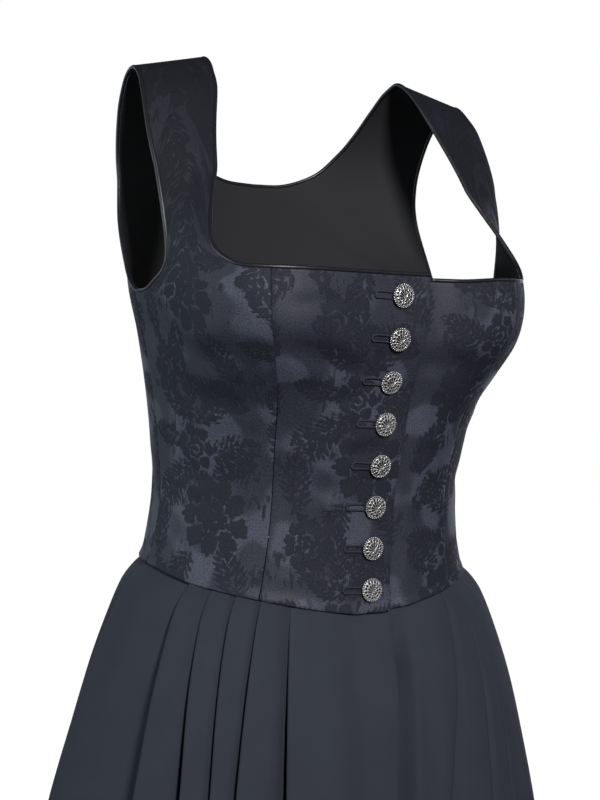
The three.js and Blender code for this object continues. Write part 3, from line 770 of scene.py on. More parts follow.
@dataclass
class StrapPanel(Panel):
    """A panel between two seams that runs on into a strap over the shoulder."""

    seam_share: float = 0.5
    dip: float = 14.0
    dip_fade: float = 5.0
    turn_rate: float = 7.0
    low_rows: float = 0.55
    eased_rows: int = 4
    calm_share: float = 0.1
    calm_heights: tuple[float, float] = (NECK_Z - 8, NECK_Z + 50)
    is_back: bool = False

    def row_at(self, across: Array, up: Array) -> Row:
        """Angle, height and distance outside the body's form.

        Args:
            across: Shares across.
            up: Shares up.

        Returns:
            Angles, heights and distances.
        """
        seam = np.clip(up / self.seam_share, 0, 1)
        strap = np.clip((up - self.seam_share) / (1 - self.seam_share), 0, 1)
        on_strap = up > self.seam_share
        first = centre_back_row if self.is_back else (lambda share: princess_row(share, 1))
        neck = BACK_NECK_EDGE if self.is_back else FRONT_NECK_EDGE
        arm = BACK_ARM_EDGE if self.is_back else FRONT_ARM_EDGE
        low_a, low_b = first(seam), side_seam_row(seam, 1 if self.is_back else -1)
        top_a, top_b = neck.row(strap), arm.row(strap)
        start = [np.where(on_strap, t, l) for t, l in zip(top_a, low_a)]
        end = [np.where(on_strap, t, l) for t, l in zip(top_b, low_b)]
        angle = lerp(start[0], end[0], across)
        seam_top = BACK_NECK_Z if self.is_back else NECK_Z
        risen = lerp(lower_edge(angle), lerp(seam_top, UNDERARM_Z, across), seam)
        level = np.where(on_strap, lerp(start[1], end[1], across), risen)
        fade = np.where(on_strap, np.maximum(0, 1 - self.dip_fade * strap), seam**2)
        dip = 0.0 if self.is_back else self.dip
        return angle, level - dip * fade * np.sin(np.pi * across), lerp(start[2], end[2], across)

    def inward_share(self, up: Array) -> Array:
        """How far the wall's direction has turned from radial to square with the strap."""
        return np.clip((up - self.seam_share) * self.turn_rate, 0, 1)

    def calm(self, across: Array, up: Array) -> Array:
        """How much of the creases' relief the panel takes: none on the strap."""
        z = self.row_at(across, up)[1]
        return smooth(up, 0.0, self.calm_share) * (1 - smooth(z, *self.calm_heights))

    def up_shares(self) -> Array:
        """The shares of the grid's rows, with one at the strap's foot.

        Returns:
            The shares.
        """
        low = round((self.rows - 1) * self.low_rows)
        return np.concatenate([
            np.linspace(0, self.seam_share, low + 1),
            np.linspace(self.seam_share, 1, self.rows - low)[1:]])

    def grids(self) -> tuple[Array, Array, Array]:
        """The grids, with the shoulder's end kept clear of the shoulder seam.

        Returns:
            The outer, inner and cloth grids.
        """
        outer, inner, cloth = super().grids()
        shift = SEAM_GAP / 2 * (1 if self.is_back else -1)
        rows = smooth(np.arange(self.rows), self.rows - self.eased_rows, self.rows - 1)[:, None]
        for grid in (outer, inner):
            grid[..., 1] += shift * rows
        return outer, inner, cloth


@dataclass
class BackPanel(StrapPanel):
    """The back, in one piece with both its straps."""

    is_back: bool = True

    def joined_row(self) -> int:
        """The row at the neck's lowest point, up to which the halves are one cloth."""
        return int(np.argmin(np.abs(self.up_shares() - self.seam_share)))

    def shares(self) -> tuple[Array, Array]:
        """The grid's shares, drawn in from every cut edge but not from the centre back line.

        Returns:
            The shares across and up.
        """
        s, t = super().shares()
        whole = (s - s[:, :1]) / (s[:, -1:] - s[:, :1]) * s[:, -1:]
        below = np.arange(self.rows)[:, None] <= self.joined_row()
        return np.where(below, whole, s), t

    def build(self, materials: Sequence[Material]) -> Object:
        """Makes the back's piece from the left half and its mirror image.

        Args:
            materials: The outer cloth and the lining.

        Returns:
            The back's object.
        """
        outer, inner, cloth = self.grids()
        joined = self.joined_row()
        for grid in (outer, inner):
            grid[: joined + 1, 0, 0] = 0.0
        across, _ = side_lengths(outer)
        cloth[..., 0] = across + np.linalg.norm(outer[:, :1, :2] - outer[joined, 0, :2], axis=-1)
        halves = [
            np.concatenate([grid, grid * flip]).reshape(-1, grid.shape[-1])
            for grid, flip in ((outer, MIRROR), (inner, MIRROR), (cloth, MIRROR[:2]))]
        layout = Layout.of_halves(self.rows, self.columns, joined)
        low = np.isin(layout.border // self.columns, (0, self.rows))
        rims = np.where(low, self.rim_lower, self.rim_seam)
        mesh = ClothMesh()
        add_shell(mesh, *halves, layout, rims, ROUND_EDGE)
        piece = mesh.build(self.name, materials)
        declare_sheet(piece, outer, (self.node,), doubled=True)
        return piece


@dataclass
class Bodice:
    """The fitted bodice: two centre fronts, two side fronts with straps, and the back."""

    centre_columns: int = 44
    centre_rows: int = 110
    side_columns: int = 44
    side_rows: int = 190

    def panels(self) -> list[Panel]:
        """The panels, from the wearer's right to left and then the back.

        Returns:
            The five panels.
        """
        centre = dict(columns=self.centre_columns, rows=self.centre_rows)
        side = dict(columns=self.side_columns, rows=self.side_rows)
        sink = CLOTH_WALL + SEAM_GAP + 1.6
        return [
            CentreFront("bodice_centre_right", "front_centre_right", Wearer.RIGHT,
                        cloth_shift=(10, 0), **centre),
            CentreFront("bodice_centre_left", "front_centre_left", Wearer.LEFT,
                        first_angle=-9.0, sink=sink, drop=3.5, cloth_shift=(62, 35), **centre),
            StrapPanel("bodice_side_right", "front_side_right", Wearer.RIGHT,
                       cloth_shift=(0, 60), **side),
            StrapPanel("bodice_side_left", "front_side_left", Wearer.LEFT,
                       cloth_shift=(30, 15), **side),
            BackPanel("bodice_back", "back", Wearer.LEFT, cloth_shift=(0, 25), **side),
        ]

    def build(self, materials: Sequence[Material]) -> list[Object]:
        """Makes every panel of the bodice."""
        return [panel.build(materials) for panel in self.panels()]


SKIRT_LENGTH = 680.0
WAIST_GAP = 0.4
# Depth below the seam, then how far the skirt stands out at the front, side and back
FLARE = Curve((
    (0, 0, 0, 0), (8, 4, 9, 6), (20, 9, 18, 13), (50, 20, 31, 24), (90, 30, 45, 39),
    (140, 37, 59, 57), (200, 43, 74, 77), (320, 57, 99, 109), (480, 76, 126, 141),
    (680, 97, 154, 170),
))
LAYER_STEP = Curve(((0, 1.35), (50, 2.4), (200, 4.6), (400, 6.4), (680, 8)))
SKIRT_EDGE = Curve((
    (0, OVERLAP_ANGLE), (34, 7.5), (60, 6.2), (100, 4.0), (148, 2.8), (300, 2.2), (680, 1.8)))
# How far the left front sinks beside the edge that covers it, by the depth below the seam
EDGE_DIP = Curve(((0, 0.5), (25, 5), (50, 13), (80, 10), (150, 10), (400, 11), (680, 11)))
HEM_Z = -391.0 - SKIRT_LENGTH


@dataclass(frozen=True)
class Pleat:
    """A knife pleat: its edge's angle at the seam, 190 mm below it and at the hem."""

    top: float
    low: float
    hem: float
    under_top: float = 15.0
    under_hem: float = 30.0

    def edge(self, depth: float) -> float:
        """The angle of the fold's edge at a depth."""
        return float(Curve(((0, self.top), (190, self.low), (SKIRT_LENGTH, self.hem)))(depth))

    def under(self, depth: float, room: float) -> float:
        """How far the cloth folds back behind the edge at a depth, within the room for it."""
        return min(lerp(self.under_top, self.under_hem, math.sqrt(depth / SKIRT_LENGTH)), room)


BACK_PLEATS = (
    Pleat(121, 123, 125), Pleat(133, 134, 137), Pleat(145.5, 146.5, 149), Pleat(158, 159, 162),
)
SIDE_PLEAT = Pleat(96, 104, 108, under_top=17)
PLEATS = (
    Pleat(33, 32, 33), Pleat(43, 44.5, 48), Pleat(51.3, 50, 58, under_top=14),
    Pleat(59.5, 56, 68, under_top=13), Pleat(67.5, 67.5, 82), SIDE_PLEAT, *BACK_PLEATS,
)
LEFT_PLEATS = (
    Pleat(38, 21, 24), Pleat(44.5, 36.5, 40), Pleat(53, 44, 52, under_top=14),
    Pleat(60.5, 55, 66, under_top=13), Pleat(68, 69, 82), SIDE_PLEAT, *BACK_PLEATS,
)
PLEAT_ROOM = 1.0
# How far a face sinks beside the fold that covers its start, by the depth below the seam
PLEAT_DIP = Curve(((0, 0.4), (30, 3.4), (100, 9.0), (190, 13), (400, 15), (680, 15)))
SEAM_PLEAT = 6
SKIRT_SEAM_ANGLE = 106.0

SKIRT_CREASES = (
    Crease((-24, -440), (-20, -700), 1.4, 13), Crease((-9, -560), (-12, -860), 1.0, 12),
    Crease((-19, -442), (-8, -466), 3.2, 7), Crease((17, -470), (18, -760), 2.4, 12),
    Crease((27, -500), (28, -900), 2.2, 12), Crease((-28, -620), (-27, -1000), 2.8, 15),
    Crease((-76, -450), (-80, -640), 2.6, 12), Crease((-86, -500), (-90, -900), 2.8, 14),
    Crease((77, -460), (80, -640), 2.6, 12), Crease((86, -520), (91, -930), 2.8, 14),
    Crease((0, -700), (1, -1070), 1.6, 16), Crease((14, -760), (15, -1070), 2.6, 15),
    Crease((172, -460), (173, -800), 2.6, 14), Crease((-172, -480), (-174, -860), 2.6, 14),
    Crease((110, -480), (112, -760), 2.4, 12), Crease((-111, -500), (-113, -790), 2.4, 12),
)
SKIRT_MM_PER_DEGREE = 3.2


@dataclass
class Skirt:
    """The knife-pleated skirt in three sheets: two fronts that open at the centre, and the back."""

    inset: float = 1.0
    stacked: int = 3
    front_level: float = 2.2
    crown: float = 0.7
    underlap: float = 16.0
    rim: float = 0.45
    row_count: int = 76
    face_points: int = 17
    cap_points: int = 5
    cap_round: float = 0.6
    calm_depths: tuple[float, float] = (10.0, 80.0)
    lead_reach: float = 9.0
    sunk_angles: tuple[float, float] = (-2.2, 2.6)
    rise_angle: float = 3.2

    def radius(self, angle: Array, depth: float) -> Array:
        """The radius below the pleats' folds.

        Args:
            angle: Angles round the body.
            depth: Distance below the seam.

        Returns:
            The radii.
        """
        turn = np.abs(angle)
        z = lower_edge(turn)
        flare = FLARE(np.full_like(turn, depth))
        facing = np.where(turn < 90, flare[..., 0], flare[..., 2])
        out = lerp(facing, flare[..., 1], np.sin(np.radians(turn)) ** 2)
        return body_radius(turn, z) - self.inset + out - self.stacked * LAYER_STEP(depth)

    def height(self, angle: Array, depth: float) -> Array:
        """The height of the cloth at a depth: level at the hem."""
        top = lower_edge(angle) - WAIST_GAP
        return lerp(top, HEM_Z, depth / SKIRT_LENGTH)

    def pleat_line(
        self, depth: float, lead: list[tuple[float, float]], pleats: Sequence[Pleat] = PLEATS,
    ) -> tuple[Array, list[int]]:
        """The cloth's line round one side at a depth.

        Args:
            depth: Distance below the seam.
            lead: Angles and heights before the first pleat's face.
            pleats: The pleats from the centre front to the centre back.

        Returns:
            Angles and heights, and the number of the point on the side seam.
        """
        step = float(LAYER_STEP(depth))
        line = list(lead[:-1])
        start, height = lead[-1]
        previous = start
        dip = float(PLEAT_DIP(depth))
        seam_index = []
        for index, pleat in enumerate(pleats):
            edge = pleat.edge(depth)
            shown = previous
            radius = float(self.radius(np.array(edge), depth))
            room = math.radians(edge - previous) * radius - PLEAT_ROOM
            fold = edge - math.degrees(pleat.under(depth, room) / radius)
            previous = edge
            clear = (fold - start) / (edge - start)
            rise = max((2 * step - height * (1 - clear)) / clear, height)
            shares = np.linspace(0, 1, self.face_points + 1)[:-1]
            if index == SEAM_PLEAT:
                seam, near = (SKIRT_SEAM_ANGLE - start) / (edge - start), self.face_points // 2
                after = np.linspace(seam, 1, self.face_points - near + 1)[:-1]
                shares = np.concatenate([np.linspace(0, seam, near + 1)[:-1], after])
                seam_index.append(len(line) + near)
            for s in shares:
                at = lerp(start, edge, s)
                sunk = smooth(at, start, max(shown, start + 0.5)) if index else 0.0
                sunk *= 1 - smooth(at, shown + 0.8, max(fold, shown + 1.6))
                crown = self.crown * step * math.sin(math.pi * s)
                line.append((at, lerp(height, rise, s) + crown - dip * float(sunk)))
            bulge = math.degrees(0.5 * step / radius)
            turns = np.linspace(0, math.pi, self.cap_points)
            for a in turns:
                line.append((edge + bulge * (math.sin(a) - 1) * self.cap_round,
                             rise - step / 2 * (1 - math.cos(a))))
            for s in (0.25, 0.5, 0.75):
                line.append((lerp(edge, fold, s), lerp(rise - step, step, s)))
            for a in turns[:-1]:
                line.append((fold + bulge * (1 - math.sin(a)) * self.cap_round,
                             step - step / 2 * (1 - math.cos(a))))
            start, height = fold, 0.0
        for s in np.linspace(0, 1, 7):
            line.append((lerp(start, 180.0, s), self.front_level * step * float(smooth(s, 0, 0.7))))
        return np.array(line), seam_index

    def faces(self, line: Array, depth: float, side: int) -> tuple[Array, Array]:
        """The outer and inner faces along a line, half a wall to each side of it.

        Args:
            line: Angles and heights round the body.
            depth: Distance below the seam.
            side: 1 on the wearer's left, -1 on the right.

        Returns:
            The two faces' points, both on the wearer's left.
        """
        angle, height = line.T
        radius = self.radius(angle, depth)
        z = self.height(angle, depth)
        still = smooth(depth, *self.calm_depths)
        relief = relief_of(SKIRT_CREASES, angle * side, z, SKIRT_MM_PER_DEGREE) * still
        run = np.diff(np.radians(angle)) * (radius[1:] + radius[:-1]) / 2
        normals = unit(np.stack([-np.diff(height), run], -1))
        before = np.concatenate([normals[:1], normals])
        after = np.concatenate([normals, normals[-1:]])
        middle = unit(before + after)
        reach = SKIRT_WALL / 2 / np.maximum((middle * before).sum(-1), 0.6)
        turn = np.degrees(middle[:, 0] * reach / radius)
        turn[angle == 180.0] = 0.0
        base = radius + height + relief
        outer = polar(angle + turn, base + middle[:, 1] * reach, z)
        inner = polar(angle - turn, base - middle[:, 1] * reach, z)
        return outer, inner

    def depths(self) -> Array:
        """The depths of the grid's rows from the hem up, closer near the seam."""
        share = np.linspace(1, 0, self.row_count)
        return SKIRT_LENGTH * share**1.6

    def front_line(self, depth: float, is_under: bool) -> Array:
        """The front's free edge and its pleats as far as the side seam.

        Args:
            depth: Distance below the seam.
            is_under: True for the left front, which lies under the right one.

        Returns:
            Angles and heights.
        """
        step = float(LAYER_STEP(depth))
        edge = float(SKIRT_EDGE(depth))
        level = self.front_level * step
        if is_under:
            tucked = math.degrees(self.underlap / float(self.radius(np.array(0.0), depth)))
            angles = np.linspace(edge - tucked, edge + self.lead_reach, 24)
            rise = smooth(angles, edge + self.rise_angle, edge + self.lead_reach)
            sinking, sunk_at = self.sunk_angles
            sunk = float(EDGE_DIP(depth)) * smooth(angles, edge + sinking, edge + sunk_at)
            heights = level - (step + sunk) * (1 - rise)
            lead = [(float(a), float(h)) for a, h in zip(angles, heights)]
        else:
            angles = np.linspace(-edge, self.lead_reach, 9)
            lead = [(float(a), level) for a in angles]
        line, seam = self.pleat_line(depth, lead, LEFT_PLEATS if is_under else PLEATS)
        line = line[: seam[0] + 1].copy()
        line[-1, 0] -= math.degrees(SEAM_GAP / 2 / float(self.radius(line[-1, 0], depth)))
        return line

    def back_line(self, depth: float) -> Array:
        """The pleats from the side seam to the centre back.

        Args:
            depth: Distance below the seam.

        Returns:
            Angles and heights.
        """
        line, seam = self.pleat_line(depth, [(0.0, 0.0)])
        line = line[seam[0] :].copy()
        line[0, 0] += math.degrees(SEAM_GAP / 2 / float(self.radius(line[0, 0], depth)))
        return line

    def sheet(self, line_at: Callable[[float], Array], side: int) -> tuple[Array, Array]:
        """The outer and inner grids of a sheet on the wearer's left, from the hem up."""
        rows = [self.faces(line_at(float(depth)), float(depth), side) for depth in self.depths()]
        return np.stack([r[0] for r in rows]), np.stack([r[1] for r in rows])

    def piece(
        self, name: str, node: str, outer: Array, inner: Array,
        materials: Sequence[Material], rests_on: Sequence[str],
    ) -> Object:
        """Makes one sheet of the skirt.

        Args:
            name: The piece's name.
            node: The CAD node that it stands for.
            outer: The outer face's grid.
            inner: The inner face's grid.
            materials: Its material.
            rests_on: Not used.

        Returns:
            The sheet's object.
        """
        across, along = side_lengths(outer)
        cloth = np.stack([across[:1] + np.zeros_like(across), along], -1)
        layout = Layout.of_grid(*outer.shape[:2])
        mesh = ClothMesh()
        rim = np.full(len(layout.border), self.rim)
        add_shell(mesh, outer.reshape(-1, 3), inner.reshape(-1, 3), cloth.reshape(-1, 2),
                  layout, rim, ROUND_EDGE[::2], lining=0)
        piece = mesh.build(name, materials)
        declare_sheet(piece, outer, (node,))
        return piece

    def build(self, materials: Sequence[Material]) -> list[Object]:
        """Makes the skirt's three sheets.

        Args:
            materials: Its material.

        Returns:
            The sheets' objects.
        """
        right = [g * MIRROR for g in self.sheet(lambda d: self.front_line(d, False), -1)]
        left = self.sheet(lambda d: self.front_line(d, True), 1)
        back_left = self.sheet(self.back_line, 1)
        back_right = self.sheet(self.back_line, -1)
        back = [
            np.concatenate([a, (b * MIRROR)[:, -2::-1]], 1) for a, b in zip(back_left, back_right)]
        return [
            self.piece("skirt_right", "skirt_front_right", *right, materials,
                       ["bodice_centre_right", "bodice_side_right"]),
            self.piece("skirt_left", "skirt_front_left", *left, materials,
                       ["bodice_centre_left", "bodice_side_left"]),
            self.piece("skirt_rear", "skirt_back", *back, materials, ["bodice_back"]),
        ]


def tube_frames(line: Array, closed: bool) -> tuple[Array, Array]:
    """Two square directions across a line at each point, turning as little as they can.

    Args:
        line: The points.
        closed: True for a loop.

    Returns:
        The side and up directions.
    """
    if closed:
        tangent = unit(np.roll(line, -1, 0) - np.roll(line, 1, 0))
    else:
        tangent = unit(np.gradient(line, axis=0))
    outward = unit(line * np.array([1.0, 1.0, 0.0]) + np.array([0.0, 0.0, 60.0]))
    side = unit(np.cross(tangent, outward))
    return side, np.cross(side, tangent)


def add_tube(
    mesh: ClothMesh, line: Array, radius: Array | float, sides: int, closed: bool,
    finish: int = 0, flat: float = 1.0,
) -> None:
    """Adds a round cord along a line, with rounded ends where it is open.

    Args:
        mesh: The mesh to add to.
        line: The points of its middle.
        radius: Its radius, the same all along or at each point.
        sides: How many sides its section has.
        closed: True for a loop.
        finish: Its material number.
        flat: The section's height as a share of its width.
    """
    side, up = tube_frames(line, closed)
    turn = np.arange(sides) / sides * 2 * np.pi
    size = np.broadcast_to(np.asarray(radius, float), (len(line),))[:, None, None]
    ring = (side[:, None] * np.cos(turn)[:, None] + up[:, None] * np.sin(turn)[:, None] * flat) * size
    run = np.concatenate([[0], np.cumsum(np.linalg.norm(np.diff(line, axis=0), axis=1))])
    cloth = np.stack(np.broadcast_arrays(run[:, None], turn[None] / 2 / np.pi * 6), -1)
    ids = mesh.add_points(line[:, None] + ring, cloth)
    upper = np.concatenate([ids, ids[:1]]) if closed else ids
    a, b = upper[:-1], upper[1:]
    mesh.add_quads(a, b, np.roll(b, -1, 1), np.roll(a, -1, 1), finish)
    if not closed:
        for end, step, flip in ((0, -1, False), (-1, 1, True)):
            way = unit(line[end] - line[end - step]) * np.ravel(size)[end] * 0.7
            tip = mesh.add_points((line[end] + way)[None], cloth[end, :1])
            first, second = ids[end], np.roll(ids[end], -1)
            if flip:
                first, second = second, first
            mesh.add_triangles(first, second, np.broadcast_to(tip, first.shape), finish)


def respaced(line: Array, step: float, closed: bool = False) -> Array:
    """The points of a line at an even spacing.

    Args:
        line: The line's points.
        step: The spacing, met as nearly as the length allows.
        closed: True for a loop.

    Returns:
        The spaced points.
    """
    if closed:
        line = np.concatenate([line, line[:1]])
    run = np.concatenate([[0], np.cumsum(np.linalg.norm(np.diff(line, axis=0), axis=1))])
    count = max(int(round(run[-1] / step)), 3)
    at = np.linspace(0, run[-1], count + 1)
    points = np.stack([np.interp(at, run, line[:, k]) for k in range(3)], -1)
    return points[:-1] if closed else points


def softened(line: Array, passes: int, closed: bool = False) -> Array:
    """A line with its corners eased, its ends kept.

    Args:
        line: The line's points.
        passes: How often it is eased.
        closed: True for a loop.

    Returns:
        The eased points.
    """
    for _ in range(passes):
        eased = (np.roll(line, 1, 0) + np.roll(line, -1, 0) + 2 * line) / 4
        if not closed:
            eased[0], eased[-1] = line[0], line[-1]
        line = eased
    return line


@dataclass
class Piping:
    """The satin piping round the neckline and both armholes."""

    radius: float = 1.65
    offset: float = 1.0
    step: float = 1.8
    sides: int = 10
    samples: int = 90

    def strap_edge(self, panel: StrapPanel, column: int) -> Array:
        """A strap's cut edge from its foot to the shoulder, as face and back points.

        Args:
            panel: The strap's panel.
            column: 0 for the neck's edge, -1 for the arm's.

        Returns:
            Two points for each place along the edge.
        """
        s, t = np.meshgrid(np.linspace(0, 1, 12), np.linspace(panel.seam_share, 1, self.samples))
        face = panel.surface(s, t)
        back = face + panel.wall_directions(face, t) * CLOTH_WALL
        return np.stack([face[:, column], back[:, column]], 1)

    def front_edge(self, panel: CentreFront, first_angle: float) -> Array:
        """A centre front's top edge from an angle to the princess seam.

        Args:
            panel: The centre front.
            first_angle: Where the edge starts.

        Returns:
            Its face and back points.
        """
        s, t = np.meshgrid(np.linspace(0, 1, 60), np.linspace(0.9, 1, 4))
        face = panel.surface(s, t)
        kept = np.degrees(np.arctan2(face[-1, :, 0], -face[-1, :, 1])) >= first_angle
        back = face + panel.wall_directions(face, t) * CLOTH_WALL
        return np.stack([face[-1, kept], back[-1, kept]], 1)

    def beside(self, edge: Array, open_side: float) -> Array:
        """The piping's middle line against a cut edge, on its open side.

        Args:
            edge: The edge's face and back points.
            open_side: 1 or -1, the side on which the cloth ends.

        Returns:
            The line's points.
        """
        face, back = edge[:, 0], edge[:, 1]
        middle = (face + back) / 2
        away = unit(np.cross(face - back, np.gradient(middle, axis=0))) * open_side
        return middle + away * self.offset

    def neck_half(self, front: CentreFront, side: StrapPanel, back: StrapPanel, angle: float) -> Array:
        """The neckline of one half on the wearer's left, from the centre front to the back.

        Args:
            front: The centre front.
            side: The side front with its strap.
            back: The back.
            angle: Where the piping starts at the centre front.

        Returns:
            The piping's middle line.
        """
        edge = np.concatenate([
            self.front_edge(front, angle), self.strap_edge(side, 0)[1:],
            self.strap_edge(back, 0)[-2::-1]])
        return self.beside(edge, 1.0)

    def arm_loop(self, side: StrapPanel, back: StrapPanel) -> Array:
        """The edge round the wearer's left arm, from the side seam forward."""
        edge = np.concatenate([self.strap_edge(side, -1), self.strap_edge(back, -1)[-2:0:-1]])
        return self.beside(edge, -1.0)

    def build(self, panels: list[Panel], material: Material) -> list[Object]:
        """Makes the neckline's piping and the two armholes'.

        Args:
            panels: The bodice's panels.
            material: The satin.

        Returns:
            The pipings' objects.
        """
        right, left, side, back = panels[0], panels[1], panels[3], panels[4]
        first = self.neck_half(right, side, back, -OVERLAP_ANGLE - 1) * MIRROR
        second = self.neck_half(left, side, back, OVERLAP_ANGLE + 1.5)[::-1]
        neck = softened(respaced(np.concatenate([first, second[1:]]), self.step), 3)
        arm = softened(respaced(self.arm_loop(side, back), self.step, True), 3, True)
        pieces = []
        for name, node, line, closed in (
            ("neck_satin_piping", "neck_piping", neck, False),
            ("arm_satin_piping_left", "arm_piping_left", arm, True),
            ("arm_satin_piping_right", "arm_piping_right", (arm * MIRROR)[::-1], True),
        ):
            mesh = ClothMesh()
            add_tube(mesh, line, self.radius, self.sides, closed)
            piece = mesh.build(name, [material])
            fasten(piece, "satin_piping", node)
            pieces.append(piece)
        return pieces


def fasten(piece: Object, slot: str, *nodes: str) -> None:
    """Fixes a piece to the dress, in place of CAD nodes, and reports it.

    Args:
        piece: The piece.
        slot: Not used.
        nodes: The CAD nodes that it stands for.
    """
    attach(piece, "root")
    if nodes:
        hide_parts(*nodes)
    log.info("%s: %d triangles", piece.name, triangles(piece))


def on_front(x: Array, z: Array, out: Array) -> Array:
    """Points on the front's outer face, x millimetres to the wearer's left and out from it.

    Args:
        x: Distances to the wearer's left of the centre front.
        z: Heights.
        out: Distances out from the cloth.

    Returns:
        The points.
    """
    x, z = np.broadcast_arrays(np.asarray(x, float), np.asarray(z, float))
    angle = np.degrees(x / body_radius(np.zeros_like(z), z))
    relief = relief_of(BODICE_CREASES, angle, z, BODICE_MM_PER_DEGREE)
    return polar(angle, body_radius(angle, z) + out + relief, z)


BUTTON_HEIGHTS = tuple(-186.0 - 31.3 * k for k in range(8))
FRONT_CLEARANCE = 0.6


@dataclass
class Buttonholes:
    """The corded buttonholes that run to the wearer's right of the buttons."""

    inner: float = 3.0
    outer: float = 24.0
    half_width: float = 2.3
    cord: float = 0.8
    points_each_end: int = 9
    lift: float = 0.55
    sag: float = 0.25

    def loop(self, z: float) -> Array:
        """The middle line of one buttonhole's cord.

        Args:
            z: The buttonhole's height.

        Returns:
            The line's points.
        """
        middle = -(self.inner + self.outer) / 2
        reach = (self.outer - self.inner) / 2 - self.half_width - self.cord
        turn = np.linspace(-np.pi / 2, np.pi / 2, self.points_each_end)
        end_x, end_y = reach + self.half_width * np.cos(turn), self.half_width * np.sin(turn)
        x, y = np.concatenate([end_x, -end_x]), np.concatenate([end_y, -end_y])
        flat = np.stack([x, y, np.zeros_like(x)], -1)
        flat = respaced(flat, 1.0, True)
        sag = self.sag * np.sin(flat[:, 0] / reach * 2.2 + z)
        return on_front(middle + flat[:, 0], z + flat[:, 1] + sag, self.lift)

    def build(self, material: Material) -> list[Object]:
        """Makes every buttonhole.

        Args:
            material: The cord's material.

        Returns:
            The buttonholes' objects.
        """
        pieces = []
        for index, z in enumerate(BUTTON_HEIGHTS):
            mesh = ClothMesh()
            add_tube(mesh, self.loop(z), self.cord, 10, True, flat=0.85)
            piece = mesh.build(f"corded_buttonhole_{index + 1}", [material])
            fasten(piece, "buttonhole_cord", f"buttonhole_{index + 1}")
            pieces.append(piece)
        return pieces


def feed(node: Node, inputs: dict[str | int, object]) -> Node:
    """Sets or links a node's inputs.

    Args:
        node: The node.
        inputs: A value, or an output of another node, by the input's name or number.

    Returns:
        The node.
    """
    for key, value in inputs.items():
        source = value.source if isinstance(value, Value) else value
        if isinstance(source, NodeSocket):
            node.id_data.links.new(source, node.inputs[key])
        else:
            node.inputs[key].default_value = source
    return node


def new_tree(name: str, inputs: dict[str, tuple[str, float | int]]) -> GeometryNodeTree:
    """Starts a Geometry Nodes tree with named inputs.

    Args:
        name: The tree's name.
        inputs: Each input's socket type and value, by name.

    Returns:
        The tree, with its group input and output nodes.
    """
    tree = bpy.data.node_groups.new(name, "GeometryNodeTree")
    tree.interface.new_socket("Geometry", in_out="INPUT", socket_type="NodeSocketGeometry")
    for label, (kind, value) in inputs.items():
        socket = tree.interface.new_socket(label, in_out="INPUT", socket_type=kind)
        if kind != "NodeSocketMaterial":
            socket.default_value = value
    tree.interface.new_socket("Geometry", in_out="OUTPUT", socket_type="NodeSocketGeometry")
    tree.nodes.new("NodeGroupInput").name = "in"
    tree.nodes.new("NodeGroupOutput").name = "out"
    return tree


def finish_tree(tree: GeometryNodeTree, instances: NodeSocket) -> None:
    """Ends a tree in realized instances that wear its Material input.

    Args:
        tree: The tree.
        instances: The output that gives the instances.
    """
    realize = feed(tree.nodes.new("GeometryNodeRealizeInstances"), {"Geometry": instances})
    dress = feed(tree.nodes.new("GeometryNodeSetMaterial"), {
        "Geometry": realize.outputs["Geometry"], "Material": tree.nodes["in"].outputs["Material"]})
    feed(tree.nodes["out"], {"Geometry": dress.outputs["Geometry"]})


def run_tree(
    tree: GeometryNodeTree, source: Mesh, name: str,
    values: dict[str, float | int | Material],
) -> Mesh:
    """Runs a tree on a mesh and returns the plain mesh that it makes.

    Args:
        tree: The Geometry Nodes tree.
        source: The mesh it starts from.
        name: The result's name.
        values: Its inputs, by name.

    Returns:
        The evaluated mesh; the carrier object and its modifier are removed.
    """
    carrier = bpy.data.objects.new(name + "_carrier", source)
    bpy.context.scene.collection.objects.link(carrier)
    modifier = carrier.modifiers.new("nodes", "NODES")
    modifier.node_group = tree
    for item in tree.interface.items_tree:
        if item.item_type == "SOCKET" and item.in_out == "INPUT" and item.name in values:
            modifier[item.identifier] = values[item.name]
    graph = bpy.context.evaluated_depsgraph_get()
    mesh = bpy.data.meshes.new_from_object(carrier.evaluated_get(graph), depsgraph=graph)
    mesh.name = name
    bpy.data.objects.remove(carrier)
    return mesh


def add_mesh(mesh: ClothMesh, made: Mesh) -> None:
    """Adds a Blender mesh, in metres, to a piece.

    Args:
        mesh: The mesh to add to.
        made: The Blender mesh.
    """
    points = np.zeros(len(made.vertices) * 3, np.float32)
    made.vertices.foreach_get("co", points)
    made.calc_loop_triangles()
    corners = np.zeros(len(made.loop_triangles) * 3, np.int32)
    made.loop_triangles.foreach_get("vertices", corners)
    ids = mesh.add_points(points.reshape(-1, 3).astype(float) / MM)
    a, b, c = ids[corners.reshape(-1, 3)].T
    mesh.add_triangles(a, b, c)


